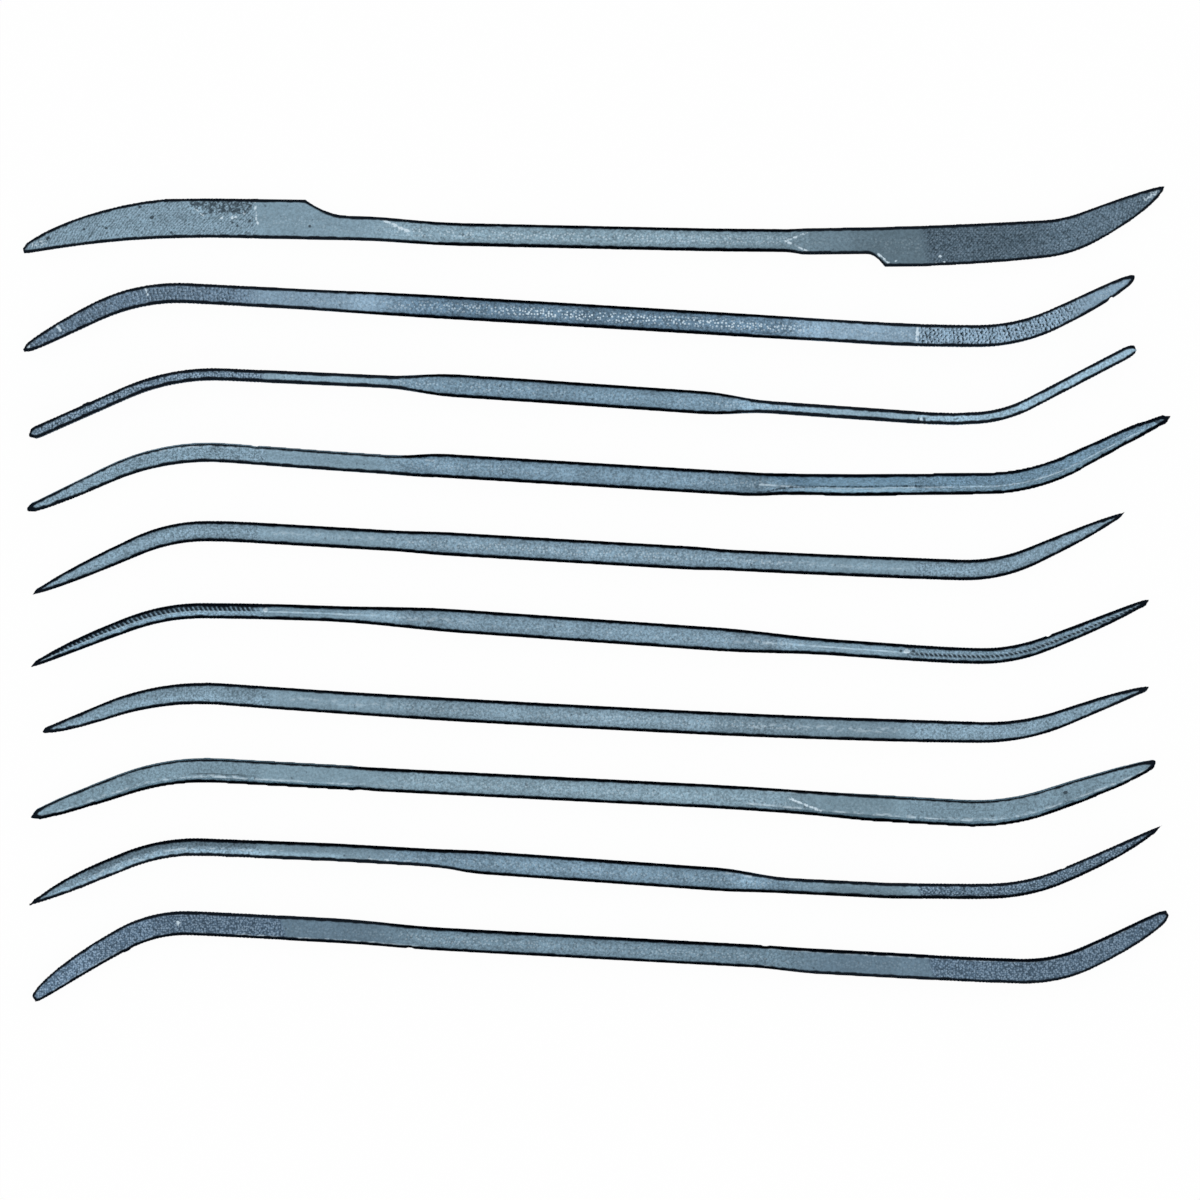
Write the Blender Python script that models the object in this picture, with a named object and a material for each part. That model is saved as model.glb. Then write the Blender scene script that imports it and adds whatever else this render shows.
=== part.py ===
"""A set of ten double-ended riffler files, lying side by side in a row.

Each file is one steel forging: a round handle in the middle, drawn down at both
ends to a blade of its own section, with both blades bent in an S. Units are metres,
+Z is up, and the row lies on the XY plane.
"""

import math
from collections import namedtuple

import bmesh
import bpy
from mathutils import Vector

MM = 0.001

# The handles, which all ten files share
HANDLE_DIAMETER = 3.62 * MM

# The row: the gap from one handle's axis to the next, and how far each file strays from it
ROW_PITCH = 12.4 * MM
ROW_STRAY_SHARES = (0.024, 0.023, 0.021, 0.010, 0.025, 0.033, -0.067, 0.006, -0.010, 0.014)

# The knife file: a wedge with its thin edge on the outside of the bend. Its shank is
# flattened first, and the blade stands out from the shank at a hollow shoulder.
KNIFE_LAY = math.radians(-1.22)
KNIFE_LEFT_REACH = 90.53 * MM
KNIFE_RIGHT_REACH = 90.86 * MM
KNIFE_LEFT_WIDTH = 6.16 * MM
KNIFE_RIGHT_WIDTH = 6.32 * MM
KNIFE_DEPTH = 2.0 * MM
KNIFE_LEFT_STEP = 0.60 * MM
KNIFE_RIGHT_STEP = 0.15 * MM
KNIFE_LEFT_SHANK_WIDTH = 3.78 * MM
KNIFE_RIGHT_SHANK_WIDTH = 4.09 * MM
KNIFE_LEFT_SHOULDER_SHARES = (0.432, 0.507)
KNIFE_RIGHT_SHOULDER_SHARES = (0.467, 0.499)
KNIFE_LEFT_BEND_SHARES = (0.100, 0.330, 0.672)
KNIFE_RIGHT_BEND_SHARES = (0.191, 0.774, 0.848)
KNIFE_LEFT_TURNS = (-0.2, 0.6, 14.7)
KNIFE_RIGHT_TURNS = (5.2, 18.7, 2.1)
KNIFE_LEFT_BLADE_SHARES = (0.239, 0.420, 0.748)
KNIFE_RIGHT_BLADE_SHARES = (0.326, 0.366, 0.498)
KNIFE_LEFT_TAPER_SHAPE = (1.40, 0.68)
KNIFE_RIGHT_TAPER_SHAPE = (3.78, 0.68)
KNIFE_LEFT_POINT_SHARES = (0.150, 0.250)
KNIFE_RIGHT_POINT_SHARES = (0.021, 0.250)

# The square file: four equal cut faces
SQUARE_LAY = math.radians(-3.46)
SQUARE_LEFT_REACH = 92.22 * MM
SQUARE_RIGHT_REACH = 86.89 * MM
SQUARE_LEFT_WIDTH = 3.07 * MM
SQUARE_RIGHT_WIDTH = 3.39 * MM
SQUARE_LEFT_BEND_SHARES = (0.100, 0.697, 0.862)
SQUARE_RIGHT_BEND_SHARES = (0.502, 0.693, 0.832)
SQUARE_LEFT_TURNS = (0.5, 29.2, 3.4)
SQUARE_RIGHT_TURNS = (3.7, 24.4, 6.4)
SQUARE_LEFT_BLADE_SHARES = (0.299, 0.550, 0.784)
SQUARE_RIGHT_BLADE_SHARES = (0.235, 0.487, 0.532)
SQUARE_LEFT_TAPER_SHAPE = (1.77, 0.42)
SQUARE_RIGHT_TAPER_SHAPE = (4.71, 0.47)
SQUARE_LEFT_POINT_SHARES = (0.135, 0.135)
SQUARE_RIGHT_POINT_SHARES = (0.038, 0.038)

# The flat file, lying on its narrow edges
FLAT_LAY = math.radians(-3.97)
FLAT_LEFT_REACH = 91.17 * MM
FLAT_RIGHT_REACH = 87.41 * MM
FLAT_LEFT_THICKNESS = 1.86 * MM
FLAT_RIGHT_THICKNESS = 1.83 * MM
FLAT_BREADTH = 5.0 * MM
FLAT_LEFT_BEND_SHARES = (0.106, 0.647, 0.815)
FLAT_RIGHT_BEND_SHARES = (0.599, 0.691, 0.783)
FLAT_LEFT_TURNS = (1.9, 25.5, 0.9)
FLAT_RIGHT_TURNS = (8.9, 21.7, 2.1)
FLAT_LEFT_BLADE_SHARES = (0.244, 0.369, 0.982)
FLAT_RIGHT_BLADE_SHARES = (0.191, 0.314, 0.975)
FLAT_LEFT_TAPER_SHAPE = (2.56, 0.83)
FLAT_RIGHT_TAPER_SHAPE = (2.44, 0.69)
FLAT_LEFT_POINT_SHARES = (0.169, 0.600)
FLAT_RIGHT_POINT_SHARES = (0.492, 0.600)

# The three-square file: an equal-sided triangle, rolled so that one arris shows from above
THREE_SQUARE_LAY = math.radians(-3.45)
THREE_SQUARE_LEFT_REACH = 91.51 * MM
THREE_SQUARE_RIGHT_REACH = 92.76 * MM
THREE_SQUARE_LEFT_SIDE = 3.31 * MM
THREE_SQUARE_RIGHT_SIDE = 3.43 * MM
THREE_SQUARE_LEFT_ROLL = math.radians(65)
THREE_SQUARE_RIGHT_ROLL = math.radians(80)
THREE_SQUARE_RIGHT_STEP = -0.15 * MM
THREE_SQUARE_LEFT_BEND_SHARES = (0.297, 0.635, 0.853)
THREE_SQUARE_RIGHT_BEND_SHARES = (0.211, 0.671, 0.826)
THREE_SQUARE_LEFT_TURNS = (-1.1, 30.4, -3.4)
THREE_SQUARE_RIGHT_TURNS = (5.7, 25.8, -4.2)
THREE_SQUARE_LEFT_BLADE_SHARES = (0.261, 0.360, 0.701)
THREE_SQUARE_RIGHT_BLADE_SHARES = (0.256, 0.365, 0.704)
THREE_SQUARE_LEFT_TAPER_SHAPE = (1.59, 0.43)
THREE_SQUARE_RIGHT_TAPER_SHAPE = (1.38, 0.38)
THREE_SQUARE_LEFT_POINT_SHARES = (0.167, 0.167)
THREE_SQUARE_RIGHT_POINT_SHARES = (0.038, 0.038)

# The round file, drawn out to a needle at both ends
ROUND_LAY = math.radians(-3.33)
ROUND_LEFT_REACH = 91.05 * MM
ROUND_RIGHT_REACH = 85.12 * MM
ROUND_LEFT_DIAMETER = 3.20 * MM
ROUND_RIGHT_DIAMETER = 3.24 * MM
ROUND_LEFT_BEND_SHARES = (0.600, 0.674, 0.797)
ROUND_RIGHT_BEND_SHARES = (0.100, 0.674, 0.808)
ROUND_LEFT_TURNS = (3.2, 24.0, 1.3)
ROUND_RIGHT_TURNS = (1.4, 25.7, 2.2)
ROUND_LEFT_BLADE_SHARES = (0.256, 0.354, 0.390)
ROUND_RIGHT_BLADE_SHARES = (0.167, 0.249, 0.506)
ROUND_LEFT_TAPER_SHAPE = (5.58, 0.76)
ROUND_RIGHT_TAPER_SHAPE = (3.94, 0.77)
ROUND_LEFT_POINT_SHARES = (0.041, 0.041)
ROUND_RIGHT_POINT_SHARES = (0.051, 0.051)

# The crossing file: a lens with one arris upward
CROSSING_LAY = math.radians(-4.00)
CROSSING_LEFT_REACH = 90.78 * MM
CROSSING_RIGHT_REACH = 88.73 * MM
CROSSING_LEFT_WIDTH = 2.40 * MM
CROSSING_RIGHT_WIDTH = 2.51 * MM
CROSSING_DEPTH = 4.0 * MM
CROSSING_LEFT_BEND_SHARES = (0.285, 0.682, 0.806)
CROSSING_RIGHT_BEND_SHARES = (0.562, 0.675, 0.795)
CROSSING_LEFT_TURNS = (3.7, 19.9, 6.8)
CROSSING_RIGHT_TURNS = (2.4, 22.0, 4.7)
CROSSING_LEFT_BLADE_SHARES = (0.238, 0.468, 0.477)
CROSSING_RIGHT_BLADE_SHARES = (0.215, 0.418, 0.495)
CROSSING_LEFT_TAPER_SHAPE = (5.09, 0.62)
CROSSING_RIGHT_TAPER_SHAPE = (3.15, 0.45)
CROSSING_LEFT_POINT_SHARES = (0.054, 0.100)
CROSSING_RIGHT_POINT_SHARES = (0.052, 0.100)

# The oval file
OVAL_LAY = math.radians(-3.01)
OVAL_LEFT_REACH = 88.19 * MM
OVAL_RIGHT_REACH = 88.15 * MM
OVAL_LEFT_WIDTH = 3.46 * MM
OVAL_RIGHT_WIDTH = 3.54 * MM
OVAL_DEPTH = 2.6 * MM
OVAL_LEFT_BEND_SHARES = (0.100, 0.668, 0.882)
OVAL_RIGHT_BEND_SHARES = (0.100, 0.682, 0.842)
OVAL_LEFT_TURNS = (-1.3, 25.1, -5.6)
OVAL_RIGHT_TURNS = (1.8, 22.4, -3.3)
OVAL_LEFT_BLADE_SHARES = (0.237, 0.544, 0.561)
OVAL_RIGHT_BLADE_SHARES = (0.206, 0.477, 0.425)
OVAL_LEFT_TAPER_SHAPE = (2.48, 0.48)
OVAL_RIGHT_TAPER_SHAPE = (2.51, 0.51)
OVAL_LEFT_POINT_SHARES = (0.038, 0.100)
OVAL_RIGHT_POINT_SHARES = (0.037, 0.100)

# The barrette file: a broad back with a narrow bevel beside it
BARRETTE_LAY = math.radians(-2.87)
BARRETTE_LEFT_REACH = 90.26 * MM
BARRETTE_RIGHT_REACH = 89.18 * MM
BARRETTE_LEFT_WIDTH = 3.83 * MM
BARRETTE_RIGHT_WIDTH = 4.18 * MM
BARRETTE_DEPTH = 2.2 * MM
BARRETTE_RIGHT_STEP = 0.59 * MM
BARRETTE_LEFT_BEND_SHARES = (0.279, 0.657, 0.828)
BARRETTE_RIGHT_BEND_SHARES = (0.391, 0.645, 0.795)
BARRETTE_LEFT_TURNS = (-0.4, 22.6, -0.1)
BARRETTE_RIGHT_TURNS = (-0.6, 21.7, 0.1)
BARRETTE_LEFT_BLADE_SHARES = (0.384, 0.435, 0.643)
BARRETTE_RIGHT_BLADE_SHARES = (0.189, 0.550, 0.560)
BARRETTE_LEFT_TAPER_SHAPE = (2.04, 0.38)
BARRETTE_RIGHT_TAPER_SHAPE = (3.29, 0.53)
BARRETTE_LEFT_POINT_SHARES = (0.034, 0.300)
BARRETTE_RIGHT_POINT_SHARES = (0.110, 0.300)

# The half-round file: its flat on the inside of the bend
HALF_ROUND_LAY = math.radians(-4.05)
HALF_ROUND_LEFT_REACH = 91.08 * MM
HALF_ROUND_RIGHT_REACH = 91.12 * MM
HALF_ROUND_LEFT_THICKNESS = 2.12 * MM
HALF_ROUND_RIGHT_THICKNESS = 2.30 * MM
HALF_ROUND_BREADTH = 4.2 * MM
HALF_ROUND_LEFT_ROLL = math.radians(16)
HALF_ROUND_RIGHT_ROLL = math.radians(3)
HALF_ROUND_LEFT_STEP = 0.45 * MM
HALF_ROUND_RIGHT_STEP = 0.28 * MM
HALF_ROUND_LEFT_BEND_SHARES = (0.226, 0.683, 0.815)
HALF_ROUND_RIGHT_BEND_SHARES = (0.335, 0.682, 0.803)
HALF_ROUND_LEFT_TURNS = (2.4, 23.5, 3.6)
HALF_ROUND_RIGHT_TURNS = (5.1, 21.0, 7.4)
HALF_ROUND_LEFT_BLADE_SHARES = (0.198, 0.320, 0.803)
HALF_ROUND_RIGHT_BLADE_SHARES = (0.206, 0.337, 0.647)
HALF_ROUND_LEFT_TAPER_SHAPE = (3.80, 1.32)
HALF_ROUND_RIGHT_TAPER_SHAPE = (4.64, 0.83)
HALF_ROUND_LEFT_POINT_SHARES = (0.141, 0.100)
HALF_ROUND_RIGHT_POINT_SHARES = (0.056, 0.100)

# The pillar file: flat on top, with one edge chamfered and both tips cut off blunt
PILLAR_LAY = math.radians(-3.09)
PILLAR_LEFT_REACH = 91.68 * MM
PILLAR_RIGHT_REACH = 91.94 * MM
PILLAR_LEFT_WIDTH = 3.74 * MM
PILLAR_RIGHT_WIDTH = 3.82 * MM
PILLAR_DEPTH = 2.4 * MM
PILLAR_LEFT_STEP = 0.44 * MM
PILLAR_RIGHT_STEP = 0.28 * MM
PILLAR_LEFT_BEND_SHARES = (0.600, 0.697, 0.815)
PILLAR_RIGHT_BEND_SHARES = (0.600, 0.727, 0.842)
PILLAR_LEFT_TURNS = (0.8, 30.6, 8.3)
PILLAR_RIGHT_TURNS = (1.6, 25.5, 7.8)
PILLAR_LEFT_BLADE_SHARES = (0.267, 0.443, 0.601)
PILLAR_RIGHT_BLADE_SHARES = (0.269, 0.373, 0.730)
PILLAR_LEFT_TAPER_SHAPE = (4.99, 0.60)
PILLAR_RIGHT_TAPER_SHAPE = (2.95, 0.54)
PILLAR_LEFT_POINT_SHARES = (0.277, 0.500)
PILLAR_RIGHT_POINT_SHARES = (0.258, 0.500)

# Blade sections, as (outward, upward) shares of a blade's width and depth. Outward is
# towards the outside of the bend, and the corners run the way that the rings do.
KNIFE_SECTION_SHARES = ((0.50, 0.10), (-0.50, 0.50), (-0.50, -0.50), (0.50, -0.10))
SQUARE_SECTION_SHARES = ((0.50, 0.50), (-0.50, 0.50), (-0.50, -0.50), (0.50, -0.50))
LEFT_BARRETTE_SECTION_SHARES = ((0.42, 0.50), (-0.26, 0.50), (-0.50, -0.50), (0.50, -0.50))
RIGHT_BARRETTE_SECTION_SHARES = ((0.26, 0.50), (-0.42, 0.50), (-0.50, -0.50), (0.50, -0.50))
PILLAR_SECTION_SHARES = ((0.50, 0.50), (-0.38, 0.50), (-0.50, 0.24), (-0.50, -0.50), (0.50, -0.50))

# How finely the lofts are cut up: sides of a ring, and rings along each stretch
RING_SIDES = 16
NECK_STEPS = 5
SWAY_STEPS = 2
BEND_STEPS = 8
TAPER_STEPS = 11
LEAST_STATION_SHARE = 0.004
TRIANGLE_SIDES = 3

# Finish
STEEL_COLOUR = (0.19, 0.28, 0.36)
DARK_STEEL_COLOUR = (0.12, 0.18, 0.24)
STEEL_ROUGHNESS = 0.42
STEEL_METALLIC = 0.85
SHARP_ANGLE = math.radians(28)

# One end of a file. The three bend shares say where its sway, bend and curl begin along
# the reach, and the turns are what each adds, in degrees. The three blade shares say
# where the neck begins and ends and where the taper begins. The step is how far the
# blade's middle stands outward of the handle's axis. The taper shape is the power and the
# roundness of the ogive that draws the blade down, and the point shares are what is left of
# its width and depth at the point. Only an end with a shoulder has a shank width: its blade
# widens outward from that along the two shoulder shares.
End = namedtuple(
    "End",
    "reach width depth step section bend_shares turns blade_shares taper_shape point_shares"
    " shank_width shoulder_shares",
    defaults=(None, None),
)
Riffler = namedtuple("Riffler", "name lay left right colour")


def ring_angle(index):
    return 2 * math.pi * index / RING_SIDES


def round_section():
    """A circle one unit across."""
    return [(0.5 * math.cos(ring_angle(i)), 0.5 * math.sin(ring_angle(i))) for i in range(RING_SIDES)]


def cornered_section(corners):
    """A polygon through the corners, each on the ring point nearest to its direction."""
    corner_at = {}
    for corner in corners:
        share = math.atan2(corner[1], corner[0]) / (2 * math.pi)
        corner_at[round(share * RING_SIDES) % RING_SIDES] = corner
    found = sorted(corner_at)
    section = [None] * RING_SIDES
    for here, after in zip(found, found[1:] + found[:1]):
        steps = (after - here) % RING_SIDES
        start, end = Vector(corner_at[here]), Vector(corner_at[after])
        for i in range(steps):
            section[(here + i) % RING_SIDES] = tuple(start.lerp(end, i / steps))
    return section


def triangle_section(roll):
    """An equal-sided triangle with a side of one unit, its first corner at the roll angle."""
    radius = 0.5 / math.sin(math.pi / TRIANGLE_SIDES)
    angles = [roll + 2 * math.pi * i / TRIANGLE_SIDES for i in range(TRIANGLE_SIDES)]
    return cornered_section([(radius * math.cos(a), radius * math.sin(a)) for a in angles])


def lens_section():
    """Two shallow arcs that meet in an arris above and below."""
    section = []
    for i in range(RING_SIDES):
        across, up = math.cos(ring_angle(i)), math.sin(ring_angle(i))
        section.append((0.5 * across * abs(across), 0.5 * up))
    return section


def half_round_section(roll, thickness, breadth):
    """A flat on the inside of the bend and an arc outside it, turned by the roll, still in
    shares of the thickness and breadth."""
    flat_from = 3 * RING_SIDES // 8
    section = []
    for i in range(RING_SIDES):
        signed = i if i <= RING_SIDES // 2 else i - RING_SIDES
        if abs(signed) <= flat_from:
            swing = 0.5 * math.pi * signed / flat_from
            across, up = math.cos(swing) - 0.5, 0.5 * math.sin(swing)
        else:
            flat_share = (RING_SIDES / 2 - abs(signed)) / (RING_SIDES / 2 - flat_from)
            across, up = -0.5, math.copysign(0.5 * flat_share, signed)
        out, rise = across * thickness, up * breadth
        section.append(
            (
                (out * math.cos(roll) - rise * math.sin(roll)) / thickness,
                (out * math.sin(roll) + rise * math.cos(roll)) / breadth,
            )
        )
    return section


def part_way(value, start, end):
    return min(max((value - start) / (end - start), 0.0), 1.0)


def smooth(share):
    return share * share * (3 - 2 * share)


def ogive(share, taper_shape):
    """What is left of a blade at this share of its taper: one at the start, zero at the point."""
    power, roundness = taper_shape
    return max(1 - share**power, 0.0) ** roundness


def centre_line(end, distance):
    """(along, rise, heading) of the centre line, this far out from the middle of the handle."""
    sway, bend, curl = (share * end.reach for share in end.bend_shares)
    lengths = (sway, bend - sway, curl - bend, end.reach - curl)
    turns = (0.0, *(math.radians(turn) for turn in end.turns))
    along = rise = heading = 0.0
    for length, turn in zip(lengths, turns):
        step = min(distance, length)
        swing = turn * step / length
        # The chord of an arc is its length times the sine of half its swing over that half.
        half = 0.5 * swing
        chord = step * (math.sin(half) / half if half else 1.0)
        along += chord * math.cos(heading + half)
        rise += chord * math.sin(heading + half)
        heading += swing
        distance -= step
    return along, rise, heading


def width_and_step(end, share):
    """The full blade's width here, and how far its middle stands outward of the centre line."""
    if not end.shoulder_shares:
        return end.width, end.step
    # A square law makes the hollow curve, which ends in a sharp corner at the blade.
    growth = (end.width - end.shank_width) * part_way(share, *end.shoulder_shares) ** 2
    return end.shank_width + growth, end.step + 0.5 * growth


def stations(end):
    """Where the rings of one end stand, as shares of its reach, from the handle outwards."""
    sway, bend, curl = end.bend_shares
    neck, blade, taper = end.blade_shares
    found = [neck + (blade - neck) * i / NECK_STEPS for i in range(NECK_STEPS + 1)]
    if end.shoulder_shares:
        rise, corner = end.shoulder_shares
        found += [rise + (corner - rise) * i / NECK_STEPS for i in range(NECK_STEPS + 1)]
    found += [sway + (bend - sway) * i / SWAY_STEPS for i in range(SWAY_STEPS)]
    found += [bend + (curl - bend) * i / BEND_STEPS for i in range(BEND_STEPS + 1)]
    swings = [0.5 * math.pi * i / TAPER_STEPS for i in range(TAPER_STEPS)]
    found += [taper + (1 - taper) * math.sin(swing) for swing in swings]
    kept = []
    for share in sorted(found):
        if not kept or share - kept[-1] > LEAST_STATION_SHARE:
            kept.append(share)
    if 1 - kept[-1] <= LEAST_STATION_SHARE:
        kept.pop()
    return kept + [1.0]


def ring(end, share, side):
    """The points of the ring at this share of an end's reach. Side is 1 on the right, -1 on the left."""
    neck, blade, taper = end.blade_shares
    along, rise, heading = centre_line(end, share * end.reach)
    formed = smooth(part_way(share, neck, blade))
    left_over = ogive(part_way(share, taper, 1.0), end.taper_shape)
    narrowing, thinning = (point + (1 - point) * left_over for point in end.point_shares)
    width, step = width_and_step(end, share)
    outward = Vector((math.sin(heading), -math.cos(heading)))
    points = []
    for i, handle_point in enumerate(round_section()):
        # The left end is the right end turned half a turn, so its ring starts outwards.
        blade_point = end.section[i if side < 0 else (RING_SIDES // 2 - i) % RING_SIDES]
        handle_out = -side * handle_point[0] * HANDLE_DIAMETER
        handle_up = handle_point[1] * HANDLE_DIAMETER
        blade_out = blade_point[0] * width * narrowing + step * left_over
        blade_up = blade_point[1] * end.depth * thinning
        out = handle_out + (blade_out - handle_out) * formed
        up = handle_up + (blade_up - handle_up) * formed
        place = side * (Vector((along, rise)) + out * outward)
        points.append(Vector((place.x, place.y, up)))
    return points


def riffler_mesh(riffler):
    """The whole file as one closed loft, from its left point to its right point."""
    rings = [ring(riffler.left, share, -1) for share in reversed(stations(riffler.left))]
    rings += [ring(riffler.right, share, 1) for share in stations(riffler.right)]
    shape = bmesh.new()
    loops = [[shape.verts.new(point) for point in points] for points in rings]
    for here, after in zip(loops, loops[1:]):
        for i in range(RING_SIDES):
            j = (i + 1) % RING_SIDES
            shape.faces.new((here[i], here[j], after[j], after[i]))
    shape.faces.new(list(reversed(loops[0])))
    shape.faces.new(loops[-1])
    bmesh.ops.recalc_face_normals(shape, faces=shape.faces)
    mesh = bpy.data.meshes.new(riffler.name)
    shape.to_mesh(mesh)
    shape.free()
    mesh.shade_smooth()
    mesh.set_sharp_from_angle(angle=SHARP_ANGLE)
    return mesh


def steel(name, colour):
    material = bpy.data.materials.new(name + "_steel")
    material.use_nodes = True
    shader = material.node_tree.nodes["Principled BSDF"]
    shader.inputs["Base Color"].default_value = (*colour, 1.0)
    shader.inputs["Roughness"].default_value = STEEL_ROUGHNESS
    shader.inputs["Metallic"].default_value = STEEL_METALLIC
    return material


def lay_in_row(riffler, row_index, row_count):
    """The file as an object, its origin in the middle of its handle, resting on the ground."""
    mesh = riffler_mesh(riffler)
    mesh.materials.append(steel(riffler.name, riffler.colour))
    laid = bpy.data.objects.new(riffler.name, mesh)
    from_middle = 0.5 * (row_count - 1) - row_index
    laid.location.y = (from_middle + ROW_STRAY_SHARES[row_index]) * ROW_PITCH
    laid.location.z = -min(vertex.co.z for vertex in mesh.vertices)
    laid.rotation_euler.z = riffler.lay
    bpy.context.collection.objects.link(laid)
    return laid


def centre_row(files):
    """Moves the row as a whole, so that the middle of its outline is at the origin."""
    corners = [laid.matrix_basis @ vertex.co for laid in files for vertex in laid.data.vertices]
    middle_x = 0.5 * (min(c.x for c in corners) + max(c.x for c in corners))
    middle_y = 0.5 * (min(c.y for c in corners) + max(c.y for c in corners))
    for laid in files:
        laid.location.x -= middle_x
        laid.location.y -= middle_y


def knife():
    left = End(
        KNIFE_LEFT_REACH, KNIFE_LEFT_WIDTH, KNIFE_DEPTH, KNIFE_LEFT_STEP,
        cornered_section(KNIFE_SECTION_SHARES),
        KNIFE_LEFT_BEND_SHARES, KNIFE_LEFT_TURNS, KNIFE_LEFT_BLADE_SHARES,
        KNIFE_LEFT_TAPER_SHAPE, KNIFE_LEFT_POINT_SHARES,
        KNIFE_LEFT_SHANK_WIDTH, KNIFE_LEFT_SHOULDER_SHARES,
    )
    right = End(
        KNIFE_RIGHT_REACH, KNIFE_RIGHT_WIDTH, KNIFE_DEPTH, KNIFE_RIGHT_STEP,
        cornered_section(KNIFE_SECTION_SHARES),
        KNIFE_RIGHT_BEND_SHARES, KNIFE_RIGHT_TURNS, KNIFE_RIGHT_BLADE_SHARES,
        KNIFE_RIGHT_TAPER_SHAPE, KNIFE_RIGHT_POINT_SHARES,
        KNIFE_RIGHT_SHANK_WIDTH, KNIFE_RIGHT_SHOULDER_SHARES,
    )
    return Riffler("knife_riffler", KNIFE_LAY, left, right, STEEL_COLOUR)


def square():
    left = End(
        SQUARE_LEFT_REACH, SQUARE_LEFT_WIDTH, SQUARE_LEFT_WIDTH, 0.0,
        cornered_section(SQUARE_SECTION_SHARES),
        SQUARE_LEFT_BEND_SHARES, SQUARE_LEFT_TURNS, SQUARE_LEFT_BLADE_SHARES,
        SQUARE_LEFT_TAPER_SHAPE, SQUARE_LEFT_POINT_SHARES,
    )
    right = End(
        SQUARE_RIGHT_REACH, SQUARE_RIGHT_WIDTH, SQUARE_RIGHT_WIDTH, 0.0,
        cornered_section(SQUARE_SECTION_SHARES),
        SQUARE_RIGHT_BEND_SHARES, SQUARE_RIGHT_TURNS, SQUARE_RIGHT_BLADE_SHARES,
        SQUARE_RIGHT_TAPER_SHAPE, SQUARE_RIGHT_POINT_SHARES,
    )
    return Riffler("square_riffler", SQUARE_LAY, left, right, STEEL_COLOUR)


def flat():
    left = End(
        FLAT_LEFT_REACH, FLAT_LEFT_THICKNESS, FLAT_BREADTH, 0.0,
        cornered_section(SQUARE_SECTION_SHARES),
        FLAT_LEFT_BEND_SHARES, FLAT_LEFT_TURNS, FLAT_LEFT_BLADE_SHARES,
        FLAT_LEFT_TAPER_SHAPE, FLAT_LEFT_POINT_SHARES,
    )
    right = End(
        FLAT_RIGHT_REACH, FLAT_RIGHT_THICKNESS, FLAT_BREADTH, 0.0,
        cornered_section(SQUARE_SECTION_SHARES),
        FLAT_RIGHT_BEND_SHARES, FLAT_RIGHT_TURNS, FLAT_RIGHT_BLADE_SHARES,
        FLAT_RIGHT_TAPER_SHAPE, FLAT_RIGHT_POINT_SHARES,
    )
    return Riffler("flat_riffler", FLAT_LAY, left, right, STEEL_COLOUR)


def three_square():
    left = End(
        THREE_SQUARE_LEFT_REACH, THREE_SQUARE_LEFT_SIDE, THREE_SQUARE_LEFT_SIDE, 0.0,
        triangle_section(THREE_SQUARE_LEFT_ROLL),
        THREE_SQUARE_LEFT_BEND_SHARES, THREE_SQUARE_LEFT_TURNS, THREE_SQUARE_LEFT_BLADE_SHARES,
        THREE_SQUARE_LEFT_TAPER_SHAPE, THREE_SQUARE_LEFT_POINT_SHARES,
    )
    right = End(
        THREE_SQUARE_RIGHT_REACH, THREE_SQUARE_RIGHT_SIDE, THREE_SQUARE_RIGHT_SIDE, THREE_SQUARE_RIGHT_STEP,
        triangle_section(THREE_SQUARE_RIGHT_ROLL),
        THREE_SQUARE_RIGHT_BEND_SHARES, THREE_SQUARE_RIGHT_TURNS, THREE_SQUARE_RIGHT_BLADE_SHARES,
        THREE_SQUARE_RIGHT_TAPER_SHAPE, THREE_SQUARE_RIGHT_POINT_SHARES,
    )
    return Riffler("three_square_riffler", THREE_SQUARE_LAY, left, right, STEEL_COLOUR)


def round_file():
    left = End(
        ROUND_LEFT_REACH, ROUND_LEFT_DIAMETER, ROUND_LEFT_DIAMETER, 0.0,
        round_section(),
        ROUND_LEFT_BEND_SHARES, ROUND_LEFT_TURNS, ROUND_LEFT_BLADE_SHARES,
        ROUND_LEFT_TAPER_SHAPE, ROUND_LEFT_POINT_SHARES,
    )
    right = End(
        ROUND_RIGHT_REACH, ROUND_RIGHT_DIAMETER, ROUND_RIGHT_DIAMETER, 0.0,
        round_section(),
        ROUND_RIGHT_BEND_SHARES, ROUND_RIGHT_TURNS, ROUND_RIGHT_BLADE_SHARES,
        ROUND_RIGHT_TAPER_SHAPE, ROUND_RIGHT_POINT_SHARES,
    )
    return Riffler("round_riffler", ROUND_LAY, left, right, STEEL_COLOUR)


def crossing():
    left = End(
        CROSSING_LEFT_REACH, CROSSING_LEFT_WIDTH, CROSSING_DEPTH, 0.0,
        lens_section(),
        CROSSING_LEFT_BEND_SHARES, CROSSING_LEFT_TURNS, CROSSING_LEFT_BLADE_SHARES,
        CROSSING_LEFT_TAPER_SHAPE, CROSSING_LEFT_POINT_SHARES,
    )
    right = End(
        CROSSING_RIGHT_REACH, CROSSING_RIGHT_WIDTH, CROSSING_DEPTH, 0.0,
        lens_section(),
        CROSSING_RIGHT_BEND_SHARES, CROSSING_RIGHT_TURNS, CROSSING_RIGHT_BLADE_SHARES,
        CROSSING_RIGHT_TAPER_SHAPE, CROSSING_RIGHT_POINT_SHARES,
    )
    return Riffler("crossing_riffler", CROSSING_LAY, left, right, STEEL_COLOUR)


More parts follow.
